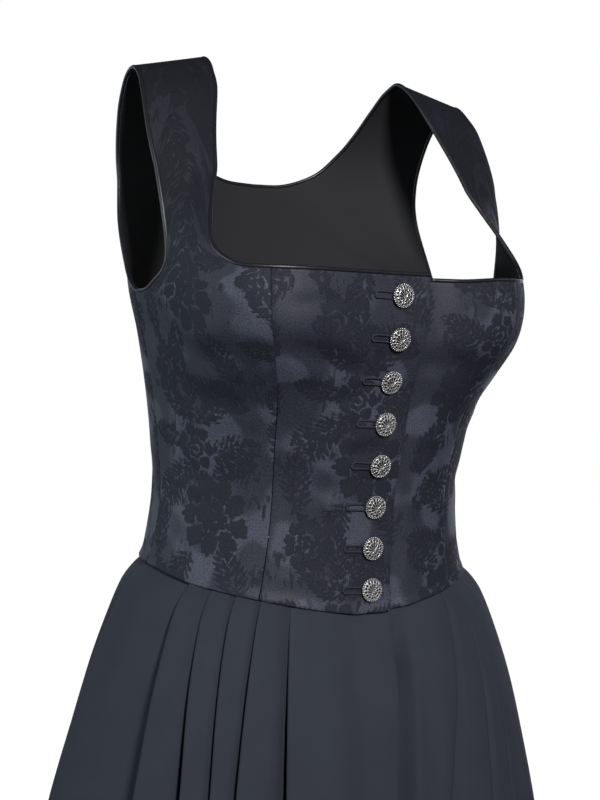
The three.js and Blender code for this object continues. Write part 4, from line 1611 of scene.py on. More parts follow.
@dataclass
class Buttons:
    """The domed openwork silver buttons, with a near-black cup under the openwork."""

    dome: Curve = Curve(((0, 4.05), (3, 3.9), (5.4, 3.55), (8.2, 2.55), (9, 1.9)))
    rib_count: int = 11
    rib_reach: float = 4.5
    loop_count: int = 15
    loop_ring: float = 6.05
    loop_radius: float = 1.12
    wire: float = 0.24
    bead_count: int = 30
    bead_ring: float = 8.3
    bead_radius: float = 0.66
    heart: tuple[float, float] = (0.3, -1.9)
    rings: tuple[tuple[float, float], ...] = ((4.7, 0.9), (7.3, 1.0))
    spoke_radii: tuple[float, ...] = (4.8, 5.6, 6.4, 7.3)
    cup: tuple[tuple[float, float], ...] = (
        (0, 3.35), (3.0, 3.15), (5.6, 2.75), (7.4, 2.2), (8.1, 1.75), (8.3, 1.45), (8.0, 1.2),
        (1.7, 1.15), (1.6, 0.1))
    cup_sides: int = 32
    twists: tuple[float, ...] = (20, 4, -24, 10, -8, 16, -5, 2)

    def on_dome(self, x: Array, y: Array, lift: float = 0.0) -> Array:
        """Points on the dome."""
        x, y = np.broadcast_arrays(x, y)
        return np.stack([x, y, self.dome(np.hypot(x, y)) + lift], -1)

    def ring(self, radius: float, count: int) -> Array:
        """A ring of points on the dome."""
        turn = np.arange(count) / count * 2 * np.pi
        return self.on_dome(radius * np.cos(turn), radius * np.sin(turn))

    def copies_tree(self) -> GeometryNodeTree:
        """A tree that sets copies of its mesh round a ring, turned to face outward.

        Returns:
            The tree.
        """
        tree = new_tree("button_ring_of_copies", {
            "Count": ("NodeSocketInt", self.bead_count),
            "Ring Radius": ("NodeSocketFloat", self.bead_ring * MM),
            "Ring Height": ("NodeSocketFloat", 0.002),
            "Material": ("NodeSocketMaterial", 0),
        })
        nodes, source = tree.nodes, tree.nodes["in"].outputs
        circle = feed(nodes.new("GeometryNodeMeshCircle"), {
            "Vertices": source["Count"], "Radius": source["Ring Radius"]})
        face = nodes.new("FunctionNodeAlignRotationToVector")
        face.axis = "X"
        feed(face, {"Vector": nodes.new("GeometryNodeInputPosition").outputs["Position"]})
        place = feed(nodes.new("GeometryNodeInstanceOnPoints"), {
            "Points": circle.outputs["Mesh"], "Instance": source["Geometry"],
            "Rotation": face.outputs["Rotation"]})
        lift = feed(nodes.new("ShaderNodeCombineXYZ"), {"Z": source["Ring Height"]})
        move = feed(nodes.new("GeometryNodeTranslateInstances"), {
            "Instances": place.outputs["Instances"], "Translation": lift.outputs["Vector"]})
        finish_tree(tree, move.outputs["Instances"])
        return tree

    def bead(self) -> Mesh:
        """One bead of the rim.

        Returns:
            The bead's mesh.
        """
        mesh = ClothMesh()
        turn = np.arange(8) / 8 * 2 * np.pi
        rings = [np.stack([math.cos(h) * np.cos(turn), math.cos(h) * np.sin(turn),
                           np.full(8, math.sin(h))], -1) * self.bead_radius
                 for h in np.radians((-55, -15, 25, 60))]
        ids = mesh.add_points(np.stack(rings))
        a, b = ids[:-1], ids[1:]
        mesh.add_quads(a, np.roll(a, -1, 1), np.roll(b, -1, 1), b)
        for ring, z, flip in ((ids[0], -1, True), (ids[-1], 1, False)):
            tip = mesh.add_points(np.array([[0, 0, z * self.bead_radius]]))
            first, second = (ring, np.roll(ring, -1)) if not flip else (np.roll(ring, -1), ring)
            mesh.add_triangles(first, second, np.broadcast_to(tip, ring.shape))
        return mesh.data("bead")

    def loop(self) -> Mesh:
        """One wire loop of the net between the centre and the rim, tilted to the dome.

        Returns:
            The loop's mesh.
        """
        turn = np.arange(12) / 12 * 2 * np.pi
        x, y = self.loop_radius * 1.15 * np.cos(turn), self.loop_radius * np.sin(turn)
        height = self.dome(self.loop_ring + x) - float(self.dome(self.loop_ring))
        mesh = ClothMesh()
        add_tube(mesh, np.stack([x, y, height], -1), self.wire * 0.9, 6, True)
        return mesh.data("wire_loop")

    def base(self, mesh: ClothMesh) -> None:
        """Adds the dark cup under the openwork, with its shank.

        Args:
            mesh: The button's mesh.
        """
        turn = np.arange(self.cup_sides) / self.cup_sides * 2 * np.pi
        tip = mesh.add_points(np.array([[0, 0, self.cup[0][1]]]))
        ids = mesh.add_points(np.stack([
            np.stack([r * np.cos(turn), r * np.sin(turn), np.full(self.cup_sides, h)], -1)
            for r, h in self.cup[1:]]))
        mesh.add_triangles(ids[0], np.roll(ids[0], -1), np.broadcast_to(tip, ids[0].shape), 1)
        a, b = ids[:-1], ids[1:]
        mesh.add_quads(a, b, np.roll(b, -1, 1), np.roll(a, -1, 1), 1)
        foot = mesh.add_points(np.array([[0, 0, 0.0]]))
        mesh.add_triangles(np.roll(ids[-1], -1), ids[-1], np.broadcast_to(foot, ids[-1].shape), 1)

    def openwork(self, mesh: ClothMesh) -> None:
        """Adds the ribs and rings of the openwork.

        Args:
            mesh: The button's mesh.
        """
        heart = np.array(self.heart)
        for k in range(self.rib_count):
            turn = 2 * np.pi * (k + 0.5) / self.rib_count
            end = np.array([math.cos(turn), math.sin(turn)]) * self.rib_reach
            share = np.linspace(0.06, 1, 6)
            flat = heart + (end - heart) * share[:, None]
            size = self.wire * np.interp(share, [0, 0.3, 0.75, 1], [1.5, 0.9, 1.35, 1.0])
            add_tube(mesh, self.on_dome(flat[:, 0], flat[:, 1], 0.05), size, 6, False)
        for radius, size in self.rings:
            add_tube(mesh, self.ring(radius, 44), self.wire * size, 6, True)
        turn = (np.arange(self.loop_count) + 0.5) / self.loop_count * 2 * np.pi
        radii = np.array(self.spoke_radii)
        for a in turn:
            spoke = self.on_dome(radii * math.cos(a), radii * math.sin(a))
            add_tube(mesh, spoke, self.wire * 0.8, 5, False)

    def button(self, beads: Mesh, loops: Mesh) -> ClothMesh:
        """One button's mesh, standing on the origin and facing up.

        Args:
            beads: The rim's beads.
            loops: The net's loops.

        Returns:
            The mesh.
        """
        mesh = ClothMesh()
        self.base(mesh)
        self.openwork(mesh)
        add_mesh(mesh, beads)
        add_mesh(mesh, loops)
        return mesh

    def build(self, silver: Material, dark: Material) -> list[Object]:
        """Makes the eight buttons, each turned a little as sewn by hand.

        Args:
            silver: The openwork's material.
            dark: The cup's material.

        Returns:
            The buttons' objects.
        """
        tree = self.copies_tree()
        beads = run_tree(tree, self.bead(), "button_beads", {
            "Count": self.bead_count, "Ring Radius": self.bead_ring * MM,
            "Ring Height": float(self.dome(self.bead_ring)) * MM, "Material": silver})
        loops = run_tree(tree, self.loop(), "button_loops", {
            "Count": self.loop_count, "Ring Radius": self.loop_ring * MM,
            "Ring Height": float(self.dome(self.loop_ring)) * MM, "Material": silver})
        shape = self.button(beads, loops)
        points = np.concatenate(shape.points)
        pieces = []
        for index, (z, twist) in enumerate(zip(BUTTON_HEIGHTS, self.twists)):
            slope = unit(on_front(0.0, z + 5, 0) - on_front(0.0, z - 5, 0))
            outward = np.cross([1.0, 0, 0], slope)
            a = math.radians(twist)
            across = np.array([1.0, 0, 0]) * math.cos(a) + slope * math.sin(a)
            axes = np.stack([across, np.cross(outward, across), outward])
            placed = ClothMesh(points=[points @ axes + on_front(0.0, z, FRONT_CLEARANCE)],
                               faces=shape.faces, cloth=shape.cloth, finish=shape.finish)
            piece = placed.build(f"openwork_button_{index + 1}", [silver, dark])
            fasten(piece, "button_silver", f"button_{index + 1}")
            pieces.append(piece)
        return pieces


@dataclass
class Stitches:
    """The visible sewing: an edge stitch down the overlap and the stitches of the hem."""

    edge_inset_degrees: float = 1.2
    edge_pitch: float = 3.2
    hem_rise: float = 30.0
    hem_pitch: float = 8.0
    half_length: float = 1.1
    half_width: float = 0.24
    uneven: tuple[float, float] = (0.85, 1.1)
    seed: int = 7
    lift: float = 0.05

    def tree(self) -> GeometryNodeTree:
        """A tree that sets a stitch at every pitch along its mesh's edges.

        Returns:
            The tree.
        """
        tree = new_tree("stitches_along_a_line", {
            "Pitch": ("NodeSocketFloat", self.edge_pitch * MM),
            "Half Length": ("NodeSocketFloat", self.half_length * MM),
            "Half Width": ("NodeSocketFloat", self.half_width * MM),
            "Seed": ("NodeSocketInt", self.seed),
            "Material": ("NodeSocketMaterial", 0),
        })
        nodes, source = tree.nodes, tree.nodes["in"].outputs
        curve = feed(nodes.new("GeometryNodeMeshToCurve"), {"Mesh": source["Geometry"]})
        points = nodes.new("GeometryNodeCurveToPoints")
        points.mode = "LENGTH"
        feed(points, {"Curve": curve.outputs["Curve"], "Length": source["Pitch"]})
        ball = feed(nodes.new("GeometryNodeMeshUVSphere"), {"Segments": 6, "Rings": 4, "Radius": 1.0})
        least, most = self.uneven
        uneven = feed(nodes.new("FunctionNodeRandomValue"), {2: least, 3: most, "Seed": source["Seed"]})
        longer = nodes.new("ShaderNodeMath")
        longer.operation = "MULTIPLY"
        feed(longer, {0: uneven.outputs[1], 1: source["Half Length"]})
        size = feed(nodes.new("ShaderNodeCombineXYZ"), {
            "X": source["Half Width"], "Y": source["Half Width"], "Z": longer.outputs[0]})
        place = feed(nodes.new("GeometryNodeInstanceOnPoints"), {
            "Points": points.outputs["Points"], "Rotation": points.outputs["Rotation"],
            "Instance": ball.outputs["Mesh"], "Scale": size.outputs["Vector"]})
        finish_tree(tree, place.outputs["Instances"])
        return tree

    def overlap_line(self) -> Array:
        """The line of the edge stitch, down the free edge of the right front.

        Returns:
            The line's points.
        """
        turn = OVERLAP_ANGLE - self.edge_inset_degrees
        z = np.linspace(NECK_Z - 3, float(lower_edge(np.array(turn))) + 3, 120)
        x = math.radians(turn) * body_radius(np.full_like(z, turn), z)
        return on_front(x, z, self.lift)

    def row(
        self, tree: GeometryNodeTree, name: str, slot: str, lines: Sequence[Array],
        pitch: float, thread: Material,
    ) -> None:
        """Sews one row of stitches along some lines.

        Args:
            tree: The stitches' tree.
            name: The row's name.
            slot: Passed on to fasten, which does not use it.
            lines: The lines that it follows, in millimetres.
            pitch: The distance from stitch to stitch.
            thread: Its material.
        """
        path = bpy.data.meshes.new(name + "_path")
        points, edges = [], []
        for line in lines:
            edges += [(len(points) + k, len(points) + k + 1) for k in range(len(line) - 1)]
            points += (line * MM).tolist()
        path.from_pydata(points, edges, [])
        mesh = ClothMesh()
        add_mesh(mesh, run_tree(tree, path, name + "_sewn", {
            "Pitch": pitch * MM, "Half Length": self.half_length * MM,
            "Half Width": self.half_width * MM, "Seed": self.seed, "Material": thread}))
        fasten(mesh.build(name, [thread]), slot)

    def build(self, skirt: Skirt, thread: Material) -> None:
        """Sews the edge stitch and the hem.

        Args:
            skirt: The skirt.
            thread: The thread's material.
        """
        tree = self.tree()
        self.row(tree, "overlap_edge_stitches", "bodice_jacquard", [self.overlap_line()],
                 self.edge_pitch, thread)
        depth = SKIRT_LENGTH - self.hem_rise
        hem = [
            skirt.faces(skirt.front_line(depth, False), depth, -1)[0] * MIRROR,
            skirt.faces(skirt.front_line(depth, True), depth, 1)[0],
            skirt.faces(skirt.back_line(depth), depth, 1)[0],
            skirt.faces(skirt.back_line(depth), depth, -1)[0] * MIRROR,
        ]
        self.row(tree, "hem_stitches", "skirt_twill", hem, self.hem_pitch, thread)


@dataclass(frozen=True)
class Value:
    """A number in a shader: arithmetic on it adds Math nodes to the tree."""

    tree: ShaderNodeTree
    source: NodeSocket

    def through(self, operation: str, *others: "Value | float") -> "Value":
        """Passes the number through one Math node.

        Args:
            operation: The node's operation.
            others: Its other numbers.

        Returns:
            The result.
        """
        node = self.tree.nodes.new("ShaderNodeMath")
        node.operation = operation
        feed(node, dict(enumerate((self, *others))))
        return Value(self.tree, node.outputs[0])

    def __add__(self, other: "Value | float") -> "Value":
        """The sum."""
        return self.through("ADD", other)

    def __sub__(self, other: "Value | float") -> "Value":
        """The difference."""
        return self.through("SUBTRACT", other)

    def __mul__(self, other: "Value | float") -> "Value":
        """The product."""
        return self.through("MULTIPLY", other)

    def __neg__(self) -> "Value":
        """The number with its sign turned."""
        return self * -1.0

    def __abs__(self) -> "Value":
        """The size of the number."""
        return self.through("ABSOLUTE")

    def ramp(self, low: float, high: float) -> "Value":
        """A smooth step from 0 at the low number to 1 at the high one.

        Args:
            low: Where it starts.
            high: Where it ends.

        Returns:
            The step.
        """
        node = self.tree.nodes.new("ShaderNodeMapRange")
        node.interpolation_type = "SMOOTHSTEP"
        feed(node, {"Value": self, "From Min": low, "From Max": high})
        return Value(self.tree, node.outputs["Result"])


Colour = tuple[float, float, float]


class Finish:
    """A material being made: its shader, and what its pattern is reckoned from."""

    def __init__(self, name: str, colour: Colour, roughness: float, metallic: float = 0.0,
                 gloss: float = 0.5) -> None:
        """Starts the material with one colour.

        Args:
            name: Its name.
            colour: Its linear colour.
            roughness: Its roughness.
            metallic: 1 for metal.
            gloss: The shader's specular level.
        """
        self.material = bpy.data.materials.new(name)
        self.material.use_nodes = True
        self.tree = self.material.node_tree
        self.shader = self.tree.nodes["Principled BSDF"]
        feed(self.shader, {"Base Color": (*colour, 1), "Roughness": roughness,
                           "Metallic": metallic, "Specular IOR Level": gloss})

    def cloth_point(self) -> NodeSocket:
        """The place on the cloth, in millimetres.

        Returns:
            The place.
        """
        uv = self.tree.nodes.new("ShaderNodeUVMap")
        uv.uv_map = "Cloth"
        return self.shaded(uv.outputs["UV"], 1 / MM)

    def object_point(self) -> NodeSocket:
        """The place on the dress, in millimetres."""
        where = self.tree.nodes.new("ShaderNodeTexCoord")
        return self.shaded(where.outputs["Object"], 1 / MM)

    def parts(self, vector: NodeSocket) -> tuple[Value, Value, Value]:
        """The three numbers of a vector."""
        node = feed(self.tree.nodes.new("ShaderNodeSeparateXYZ"), {0: vector})
        return tuple(Value(self.tree, out) for out in node.outputs)

    def joined(self, x: Value, y: Value) -> NodeSocket:
        """A flat vector of two numbers."""
        return feed(self.tree.nodes.new("ShaderNodeCombineXYZ"), {"X": x, "Y": y}).outputs["Vector"]

    def noise(self, point: NodeSocket, size: float, detail: float = 2.0) -> Value:
        """Soft noise whose patches are about as wide as the size.

        Args:
            point: Where it is read.
            size: The patches' width.
            detail: How many finer layers it has.

        Returns:
            The noise, near 0.5.
        """
        node = feed(self.tree.nodes.new("ShaderNodeTexNoise"), {
            "Vector": point, "Scale": 1 / size, "Detail": detail})
        return Value(self.tree, node.outputs[0])

    def placed(self, point: NodeSocket, x: float, y: float, turn: float) -> NodeSocket:
        """The point as seen from another place.

        Args:
            point: The point.
            x: The place's first coordinate.
            y: The place's second one.
            turn: The place's turn in degrees.

        Returns:
            The point in the place's own coordinates.
        """
        node = self.tree.nodes.new("ShaderNodeMapping")
        node.vector_type = "TEXTURE"
        feed(node, {"Vector": point, "Location": (x, y, 0), "Rotation": (0, 0, math.radians(turn))})
        return node.outputs["Vector"]

    def mixed(self, share: Value, low: Colour | NodeSocket,
              high: Colour | NodeSocket) -> NodeSocket:
        """A colour between two.

        Args:
            share: The share of the second colour.
            low: The first colour.
            high: The second colour.

        Returns:
            The mixed colour.
        """
        node = self.tree.nodes.new("ShaderNodeMix")
        node.data_type = "RGBA"
        feed(node, {"Factor": share})
        ends = [number for number, socket in enumerate(node.inputs) if socket.type == "RGBA"]
        for number, value in zip(ends, (low, high)):
            feed(node, {number: (*value, 1) if isinstance(value, tuple) else value})
        return next(socket for socket in node.outputs if socket.type == "RGBA")

    def shaded(self, vector: NodeSocket, factor: Value | float) -> NodeSocket:
        """A vector or colour times a number.

        Args:
            vector: The vector.
            factor: The number.

        Returns:
            The product.
        """
        node = self.tree.nodes.new("ShaderNodeVectorMath")
        node.operation = "SCALE"
        return feed(node, {0: vector, "Scale": factor}).outputs[0]

    def paint(self, colour: NodeSocket | None = None, roughness: Value | None = None,
              relief: Value | None = None) -> Material:
        """Joins the pattern to the shader.

        Args:
            colour: The colour.
            roughness: The roughness.
            relief: The surface's height in millimetres.

        Returns:
            The finished material.
        """
        if colour is not None:
            feed(self.shader, {"Base Color": colour})
        if roughness is not None:
            feed(self.shader, {"Roughness": roughness})
        if relief is not None:
            bump = feed(self.tree.nodes.new("ShaderNodeBump"), {"Distance": MM, "Height": relief})
            feed(self.shader, {"Normal": bump.outputs["Normal"]})
        return self.material


@dataclass(frozen=True)
class Leaf:
    """A toothed leaf of the weave: its middle, turn in degrees, length and width."""

    x: float
    y: float
    turn: float
    length: float
    width: float

    def field(self, finish: Finish, point: NodeSocket) -> Value:
        """How far outside the leaf a point is, less than 0 inside it.

        Args:
            finish: The material being made.
            point: The point.

        Returns:
            The distance.
        """
        along, aside, _ = finish.parts(finish.placed(point, self.x, self.y, self.turn))
        aside = abs(aside)
        share = along * (2 / self.length)
        full = (-(share * share) + 1.0).through("MAXIMUM", 0.0).through("POWER", 0.62)
        teeth = ((along - aside) * 1.15).through("SINE") * 0.16 + 0.92
        body = (aside - full * teeth * (self.width / 2)).through(
            "MAXIMUM", abs(along) - self.length / 2)
        veins = -abs(((along - aside * 0.9) * 0.62).through("SINE")) * 1.7 + 0.42
        return body.through("MAXIMUM", -aside + 0.5).through("MAXIMUM", veins)


@dataclass(frozen=True)
class Blossom:
    """An open blossom of the weave: its middle, radius, petals and turn in degrees."""

    x: float
    y: float
    radius: float
    petals: int
    turn: float = 0.0

    def field(self, finish: Finish, point: NodeSocket) -> Value:
        """How far outside the blossom a point is, less than 0 inside it.

        Args:
            finish: The material being made.
            point: The point.

        Returns:
            The distance.
        """
        x, y, _ = finish.parts(finish.placed(point, self.x, self.y, self.turn))
        out = (x * x + y * y).through("SQRT")
        angle = y.through("ARCTAN2", x)
        wave = abs((angle * (self.petals / 2)).through("SINE"))
        frill = (angle * 31.0).through("SINE") * (0.025 * self.radius)
        edge = wave.through("SQRT") * (0.3 * self.radius) + 0.7 * self.radius + frill
        cleft = (-(out * wave) * (2 / self.petals) + 0.6).through("MINIMUM", out - 0.52 * self.radius)
        inner = abs((angle * (self.petals / 2) + 1.2).through("SINE")) * (0.12 * self.radius)
        ring = -abs(out - inner - 0.4 * self.radius) + 0.7
        heart = -abs(out - 0.19 * self.radius) + 0.6
        return (out - edge).through("MAXIMUM", cleft).through("MAXIMUM", ring).through("MAXIMUM", heart)


@dataclass(frozen=True)
class Fern:
    """A curved feathery stem: the middle of its curve, radius, turn, half angle and leaflets."""

    x: float
    y: float
    radius: float
    turn: float
    reach: float
    leaflets: float

    def field(self, finish: Finish, point: NodeSocket) -> Value:
        """How far outside the fern a point is, less than 0 inside it.

        Args:
            finish: The material being made.
            point: The point.

        Returns:
            The distance.
        """
        x, y, _ = finish.parts(finish.placed(point, self.x, self.y, self.turn))
        out = (x * x + y * y).through("SQRT")
        angle = y.through("ARCTAN2", x)
        swing = abs(angle)
        lean = angle * self.leaflets + abs(out - self.radius) * 0.45
        feather = abs(lean.through("SINE")) * (-(swing * (1 / self.reach)) + 1.15) * 4.6 + 0.35
        return (abs(out - self.radius) - feather).through(
            "MAXIMUM", (swing - self.reach) * self.radius)


@dataclass(frozen=True)
class Jacquard:
    """The bodice's cloth: a tone-on-tone weave of blossoms, leaves and ferns on satin, with painted
    sheen in patches and painted shade on the straps.
    """

    repeat: tuple[float, float] = (112.0, 172.0)
    flowers: tuple[Blossom | Leaf | Fern, ...] = (
        Blossom(-16, 26, 29, 9, 10), Blossom(28, -42, 19, 6, 25),
        Leaf(26, 44, -34, 52, 27), Leaf(-38, -16, 62, 48, 25), Leaf(6, -20, -74, 40, 21),
        Leaf(-24, -52, 20, 52, 25), Leaf(40, 4, 84, 44, 22), Fern(14, 2, 30, -50, 0.95, 13.0),
        Leaf(-34, 66, -30, 40, 20), Leaf(10, -70, 12, 38, 19),
    )
    sprays: tuple[Blossom | Leaf | Fern, ...] = (
        Leaf(4, 42, 82, 50, 20), Leaf(24, 26, 46, 46, 19), Leaf(-22, 28, 128, 48, 21),
        Leaf(34, -8, 8, 40, 19), Leaf(-34, -6, 160, 42, 20), Blossom(0, -12, 18, 7, 40),
        Leaf(-14, -48, -110, 44, 22), Leaf(24, -46, -58, 42, 21), Fern(-6, -60, 26, 90, 1.1, 11.0),
    )
    # light is the colour of the painted sheen: lighter ground painted in patches where the satin would
    # catch the light
    light: Colour = (0.067, 0.071, 0.100)
    ground: Colour = (0.030, 0.032, 0.048)
    figure: Colour = (0.0165, 0.018, 0.028)
    # strap is painted shade: a near-black laid over the straps, which lie in shade
    strap: Colour = (0.006, 0.007, 0.011)
    wander: float = 11.0
    # The heights over which the straps' painted shade and denser strokes come in, then the depths over
    # which the painted sheen grows lower down
    strap_heights: tuple[float, float] = (-165.0, -105.0)
    painted_sheen_depths: tuple[float, float] = (230.0, 330.0)

    def cell(self, finish: Finish, x: Value, y: Value, drop: float) -> NodeSocket:
        """The place in a cell of the half-drop repeat, from the cell's middle.

        Args:
            finish: The material being made.
            x: The first cloth coordinate.
            y: The second one.
            drop: How far the cells are moved down.

        Returns:
            The place.
        """
        width, height = self.repeat
        column = (x * (1 / width)).through("FLOOR")
        own_x = x - column * width - width / 2
        lowered = y + column * (height / 2) + drop
        own_y = lowered.through("FLOORED_MODULO", height) - height / 2
        return finish.joined(own_x, own_y)

    def nearest(self, finish: Finish, point: NodeSocket,
                shapes: Sequence[Blossom | Leaf | Fern]) -> Value:
        """The least field of some shapes.

        Args:
            finish: The material being made.
            point: The point.
            shapes: The shapes.

        Returns:
            The field.
        """
        least = shapes[0].field(finish, point)
        for shape in shapes[1:]:
            least = least.through("MINIMUM", shape.field(finish, point))
        return least

    def material(self) -> Material:
        """Makes the cloth's material.

        Returns:
            The material.
        """
        finish = Finish("bodice_jacquard", self.ground, 0.5, gloss=0.4)
        cloth = finish.cloth_point()
        x, y, _ = finish.parts(cloth)
        shifted = finish.placed(cloth, 311.0, 97.0, 0.0)
        x = x + (finish.noise(cloth, 26.0) - 0.5) * self.wander + 500.0
        y = y + (finish.noise(shifted, 26.0) - 0.5) * self.wander
        height = finish.parts(finish.object_point())[2]
        # 1 on the straps: it thickens the pattern's strokes there, lays painted shade over them and
        #                  thins the painted sheen
        strap = height.ramp(*self.strap_heights)
        flowers = self.nearest(finish, self.cell(finish, x, y, 0.0), self.flowers)
        sprays = self.nearest(finish, self.cell(finish, x, y, self.repeat[1] / 2), self.sprays)
        least = flowers.through("MINIMUM", sprays) + (finish.noise(cloth, 4.2, 3.0) - 0.5) * 7.0
        fine = finish.noise(cloth, 1.1, 1.0)
        figure = (-least + (fine - 0.5) * 1.2).ramp(-0.5, 0.5)
        outline = -abs(least) + 0.75
        outline = outline.through("MAXIMUM", 0.0) * finish.noise(shifted, 18.0).ramp(0.38, 0.62)
        streak = finish.noise(finish.joined(x * 0.8, y * 0.22), 3.0, 1.0)
        strokes = streak.ramp(0.53, 0.58) * (finish.noise(shifted, 34.0) + strap * 0.1).ramp(0.5, 0.6)
        figure = figure.through("MAXIMUM", strokes)
        # Painted sheen: the ground lightened in noise patches as lit satin, more of them lower down and
        # fewer on the straps; the patches also lower the roughness a little
        low = (-height).ramp(*self.painted_sheen_depths)
        painted_sheen_share = (finish.noise(shifted, 46.0, 1.0) + low * 0.03 - strap * 0.2).ramp(0.49, 0.58)
        tone = finish.mixed(painted_sheen_share, self.ground, self.light)
        tone = finish.mixed(figure, tone, self.figure)
        # Painted shade: the straps darkened towards near-black, the figure more than the ground
        tone = finish.mixed(strap * (figure * 0.32 + 0.66), tone, self.strap)
        speckle = (fine - 0.5) * 2.2 + (streak - 0.5) * 0.35 + 1.0
        tone = finish.shaded(tone, speckle * (-(outline * 0.75) + 1.0))
        roughness = figure * 0.18 - painted_sheen_share * 0.03 + 0.60
        relief = figure * 0.08 - outline * 0.10 + (fine - 0.5) * 0.10
        return finish.paint(tone, roughness, relief)


@dataclass(frozen=True)
class Twill:
    """The skirt's matt cloth, with its fine slanting ribs."""

    colour: Colour = (0.034, 0.039, 0.053)
    pitch: float = 1.3

    def material(self) -> Material:
        """Makes the cloth's material.

        Returns:
            The material.
        """
        finish = Finish("skirt_twill", self.colour, 0.82, gloss=0.35)
        cloth = finish.cloth_point()
        x, y, _ = finish.parts(cloth)
        rib = ((x * 0.8 + y) * (2 * math.pi / self.pitch)).through("SINE")
        soft = finish.noise(cloth, 38.0)
        fibre = finish.noise(cloth, 1.4, 1.0)
        pale = tuple(c * 1.25 for c in self.colour)
        deep = tuple(c * 0.8 for c in self.colour)
        tone = finish.mixed(soft * 0.6 + fibre * 0.35 + rib * 0.05, deep, pale)
        return finish.paint(tone, fibre * 0.1 + 0.77, rib * 0.05 + fibre * 0.08)


@dataclass(frozen=True)
class Thread:
    """Twisted thread or cord: stripes that run round it."""

    name: str
    colour: Colour
    pitch: float
    roughness: float

    def material(self) -> Material:
        """Makes the thread's material.

        Returns:
            The material.
        """
        finish = Finish(self.name, self.colour, self.roughness)
        along, around, _ = finish.parts(finish.cloth_point())
        turn = ((along + around * 0.5) * (2 * math.pi / self.pitch)).through("SINE")
        deep = tuple(c * 0.55 for c in self.colour)
        tone = finish.mixed(turn * 0.5 + 0.5, deep, self.colour)
        return finish.paint(tone, relief=turn * 0.08)


@dataclass(frozen=True)
class Satin:
    """Smooth dark satin cut on the slant, for the piping."""

    colour: Colour = (0.012, 0.012, 0.015)

    def material(self) -> Material:
        """Makes the cloth's material.

        Returns:
            The material.
        """
        finish = Finish("satin_piping", self.colour, 0.38, gloss=0.7)
        cloth = finish.cloth_point()
        soft = finish.noise(cloth, 4.0)
        return finish.paint(roughness=soft * 0.15 + 0.32, relief=soft * 0.1)


@dataclass(frozen=True)
class Lining:
    """The bodice's plain dark lining."""

    colour: Colour = (0.02, 0.02, 0.022)

    def material(self) -> Material:
        """Makes the lining's material.

        Returns:
            The material.
        """
        finish = Finish("bodice_lining", self.colour, 0.8)
        fibre = finish.noise(finish.cloth_point(), 1.2, 1.0)
        deep = tuple(c * 0.75 for c in self.colour)
        return finish.paint(finish.mixed(fibre, deep, self.colour), relief=fibre * 0.06)


@dataclass(frozen=True)
class Silver:
    """Worn metal, bright silver or near-black, its tone varied in small random patches."""

    name: str
    bright: Colour
    deep: Colour
    roughness: float
    metallic: float

    def material(self) -> Material:
        """Makes the metal's material.

        Returns:
            The material.
        """
        finish = Finish(self.name, self.bright, self.roughness, self.metallic)
        wear = finish.noise(finish.object_point(), 1.3, 2.0)
        tone = finish.mixed(wear.ramp(0.35, 0.6), self.deep, self.bright)
        return finish.paint(tone, wear * 0.2 + (self.roughness - 0.1))


def direction(azimuth: float, elevation: float) -> Vector:
    """The way out from the dress to a place, from its angles in degrees."""
    a, e = math.radians(azimuth), math.radians(elevation)
    return Vector((math.sin(a) * math.cos(e), -math.cos(a) * math.cos(e), math.sin(e)))


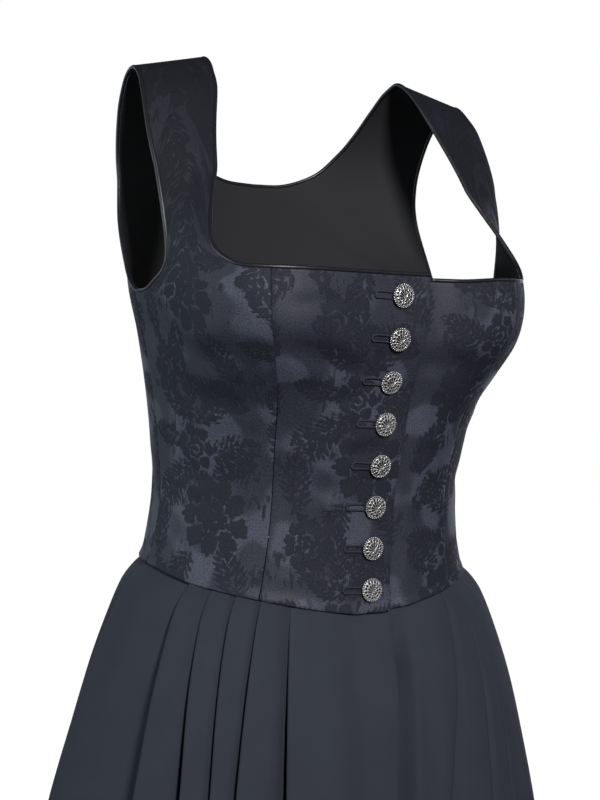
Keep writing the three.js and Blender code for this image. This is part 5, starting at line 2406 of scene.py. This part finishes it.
@dataclass
class Studio:
    """The floor, lights, world and camera, in metres."""

    target: tuple[float, float, float] = (0.0, -0.020, -0.285)
    azimuth: float = -30.29
    elevation: float = 2.59
    roll: float = 1.22
    distance: float = 1.138
    focal_px: float = 1423.0
    target_px: tuple[float, float] = (315.9, 424.1)
    photo_px: tuple[int, int] = (600, 800)
    sensor: float = 36.0
    floor_z: float = -1.40
    floor_glow: float = 0.99
    floor_reach: float = 8.0
    sky: float = 0.03

    def camera(self) -> None:
        """Makes the camera at the photograph's angle and frame."""
        data = bpy.data.cameras.new("camera")
        data.sensor_fit = "AUTO"
        width, height = self.photo_px
        data.sensor_width = self.sensor
        data.lens = self.focal_px / height * self.sensor
        data.shift_x = -(self.target_px[0] - width / 2) / height
        data.shift_y = (self.target_px[1] - height / 2) / height
        data.clip_start, data.clip_end = 0.05, 60.0
        camera = bpy.data.objects.new("camera", data)
        bpy.context.scene.collection.objects.link(camera)
        back = direction(self.azimuth, self.elevation)
        a, r = math.radians(self.azimuth), math.radians(self.roll)
        right = Vector((math.cos(a), math.sin(a), 0))
        up = back.cross(right)
        right, up = (right * math.cos(r) + up * math.sin(r), up * math.cos(r) - right * math.sin(r))
        turn = Matrix((right, up, back)).transposed().to_4x4()
        camera.matrix_world = Matrix.Translation(Vector(self.target) + back * self.distance) @ turn
        bpy.context.scene.camera = camera

    def light(self, name: str, azimuth: float, elevation: float, distance: float,
              size: tuple[float, float], watts: float, colour: Colour) -> None:
        """Adds a soft rectangular light that faces the dress.

        Args:
            name: Its name.
            azimuth: Its angle round the dress in degrees.
            elevation: Its angle above level.
            distance: Its distance from the camera's target.
            size: Its width and height.
            watts: Its power.
            colour: Its colour.
        """
        data = bpy.data.lights.new(name, "AREA")
        data.shape = "RECTANGLE"
        data.size, data.size_y = size
        data.energy = watts
        data.color = colour
        lamp = bpy.data.objects.new(name, data)
        bpy.context.scene.collection.objects.link(lamp)
        back = direction(azimuth, elevation)
        lamp.location = Vector(self.target) + back * distance
        lamp.rotation_mode = "QUATERNION"
        lamp.rotation_quaternion = back.to_track_quat("Z", "Y")

    def build(self) -> None:
        """Makes the whole studio."""
        scene = bpy.context.scene
        scene.view_settings.view_transform = "Standard"
        world = bpy.data.worlds.new("studio")
        scene.world = world
        world.use_nodes = True
        nodes = world.node_tree.nodes
        nodes.clear()
        seen, lit = nodes.new("ShaderNodeBackground"), nodes.new("ShaderNodeBackground")
        feed(seen, {"Color": (1, 1, 1, 1), "Strength": 1.0})
        feed(lit, {"Color": (0.93, 0.96, 1, 1), "Strength": self.sky})
        mix = feed(nodes.new("ShaderNodeMixShader"), {
            "Fac": nodes.new("ShaderNodeLightPath").outputs["Is Camera Ray"],
            1: lit.outputs["Background"], 2: seen.outputs["Background"]})
        feed(nodes.new("ShaderNodeOutputWorld"), {"Surface": mix.outputs["Shader"]})
        size = self.floor_reach
        mesh = bpy.data.meshes.new("floor")
        corners = [(-size, -size, self.floor_z), (size, -size, self.floor_z),
                   (size, size, self.floor_z), (-size, size, self.floor_z)]
        mesh.from_pydata(corners, [], [(0, 1, 2, 3)])
        pale = Finish("pale_floor", (0.86, 0.86, 0.86), 0.9).material
        feed(pale.node_tree.nodes["Principled BSDF"], {
            "Emission Color": (1, 1, 1, 1), "Emission Strength": self.floor_glow})
        mesh.materials.append(pale)
        floor = bpy.data.objects.new("floor", mesh)
        floor.visible_diffuse = floor.visible_glossy = False
        scene.collection.objects.link(floor)
        self.light("key", -90, 6, 2.2, (0.8, 1.2), 12, (0.86, 0.93, 1.0))
        self.light("front", -12, 24, 2.4, (0.35, 0.35), 48, (0.96, 0.96, 1.0))
        self.light("fill_left", -130, 0, 2.2, (1.2, 1.6), 9, (0.72, 0.88, 1.0))
        self.light("fill_right", 60, 18, 2.4, (1.2, 1.2), 4, (0.9, 0.95, 1.0))
        self.light("rim_right", 118, 2, 2.2, (0.8, 1.8), 9, (0.78, 0.9, 1.0))
        self.light("back", 178, 8, 2.8, (1.2, 1.8), 8, (0.85, 0.93, 1.0))
        self.camera()


def main() -> None:
    """Builds the dress piece by piece, and the studio round it."""
    logging.basicConfig(level=logging.INFO, format="%(message)s")
    jacquard, lining = Jacquard().material(), Lining().material()
    twill, satin = Twill().material(), Satin().material()
    cord = Thread("buttonhole_cord", (0.030, 0.033, 0.048), 0.9, 0.6).material()
    thread = Thread("sewing_thread", (0.026, 0.029, 0.042), 0.6, 0.55).material()
    silver = Silver("button_silver", (0.95, 0.94, 0.92), (0.55, 0.53, 0.50), 0.3, 0.75).material()
    dark = Silver("button_hollow", (0.03, 0.027, 0.025), (0.012, 0.011, 0.010), 0.6, 0.4).material()
    bodice = Bodice()
    bodice.build([jacquard, lining])
    skirt = Skirt()
    skirt.build([twill])
    Piping().build(bodice.panels(), satin)
    Buttonholes().build(cord)
    Buttons().build(silver, dark)
    Stitches().build(skirt, thread)
    Studio().build()


if __name__ == "__main__":
    main()
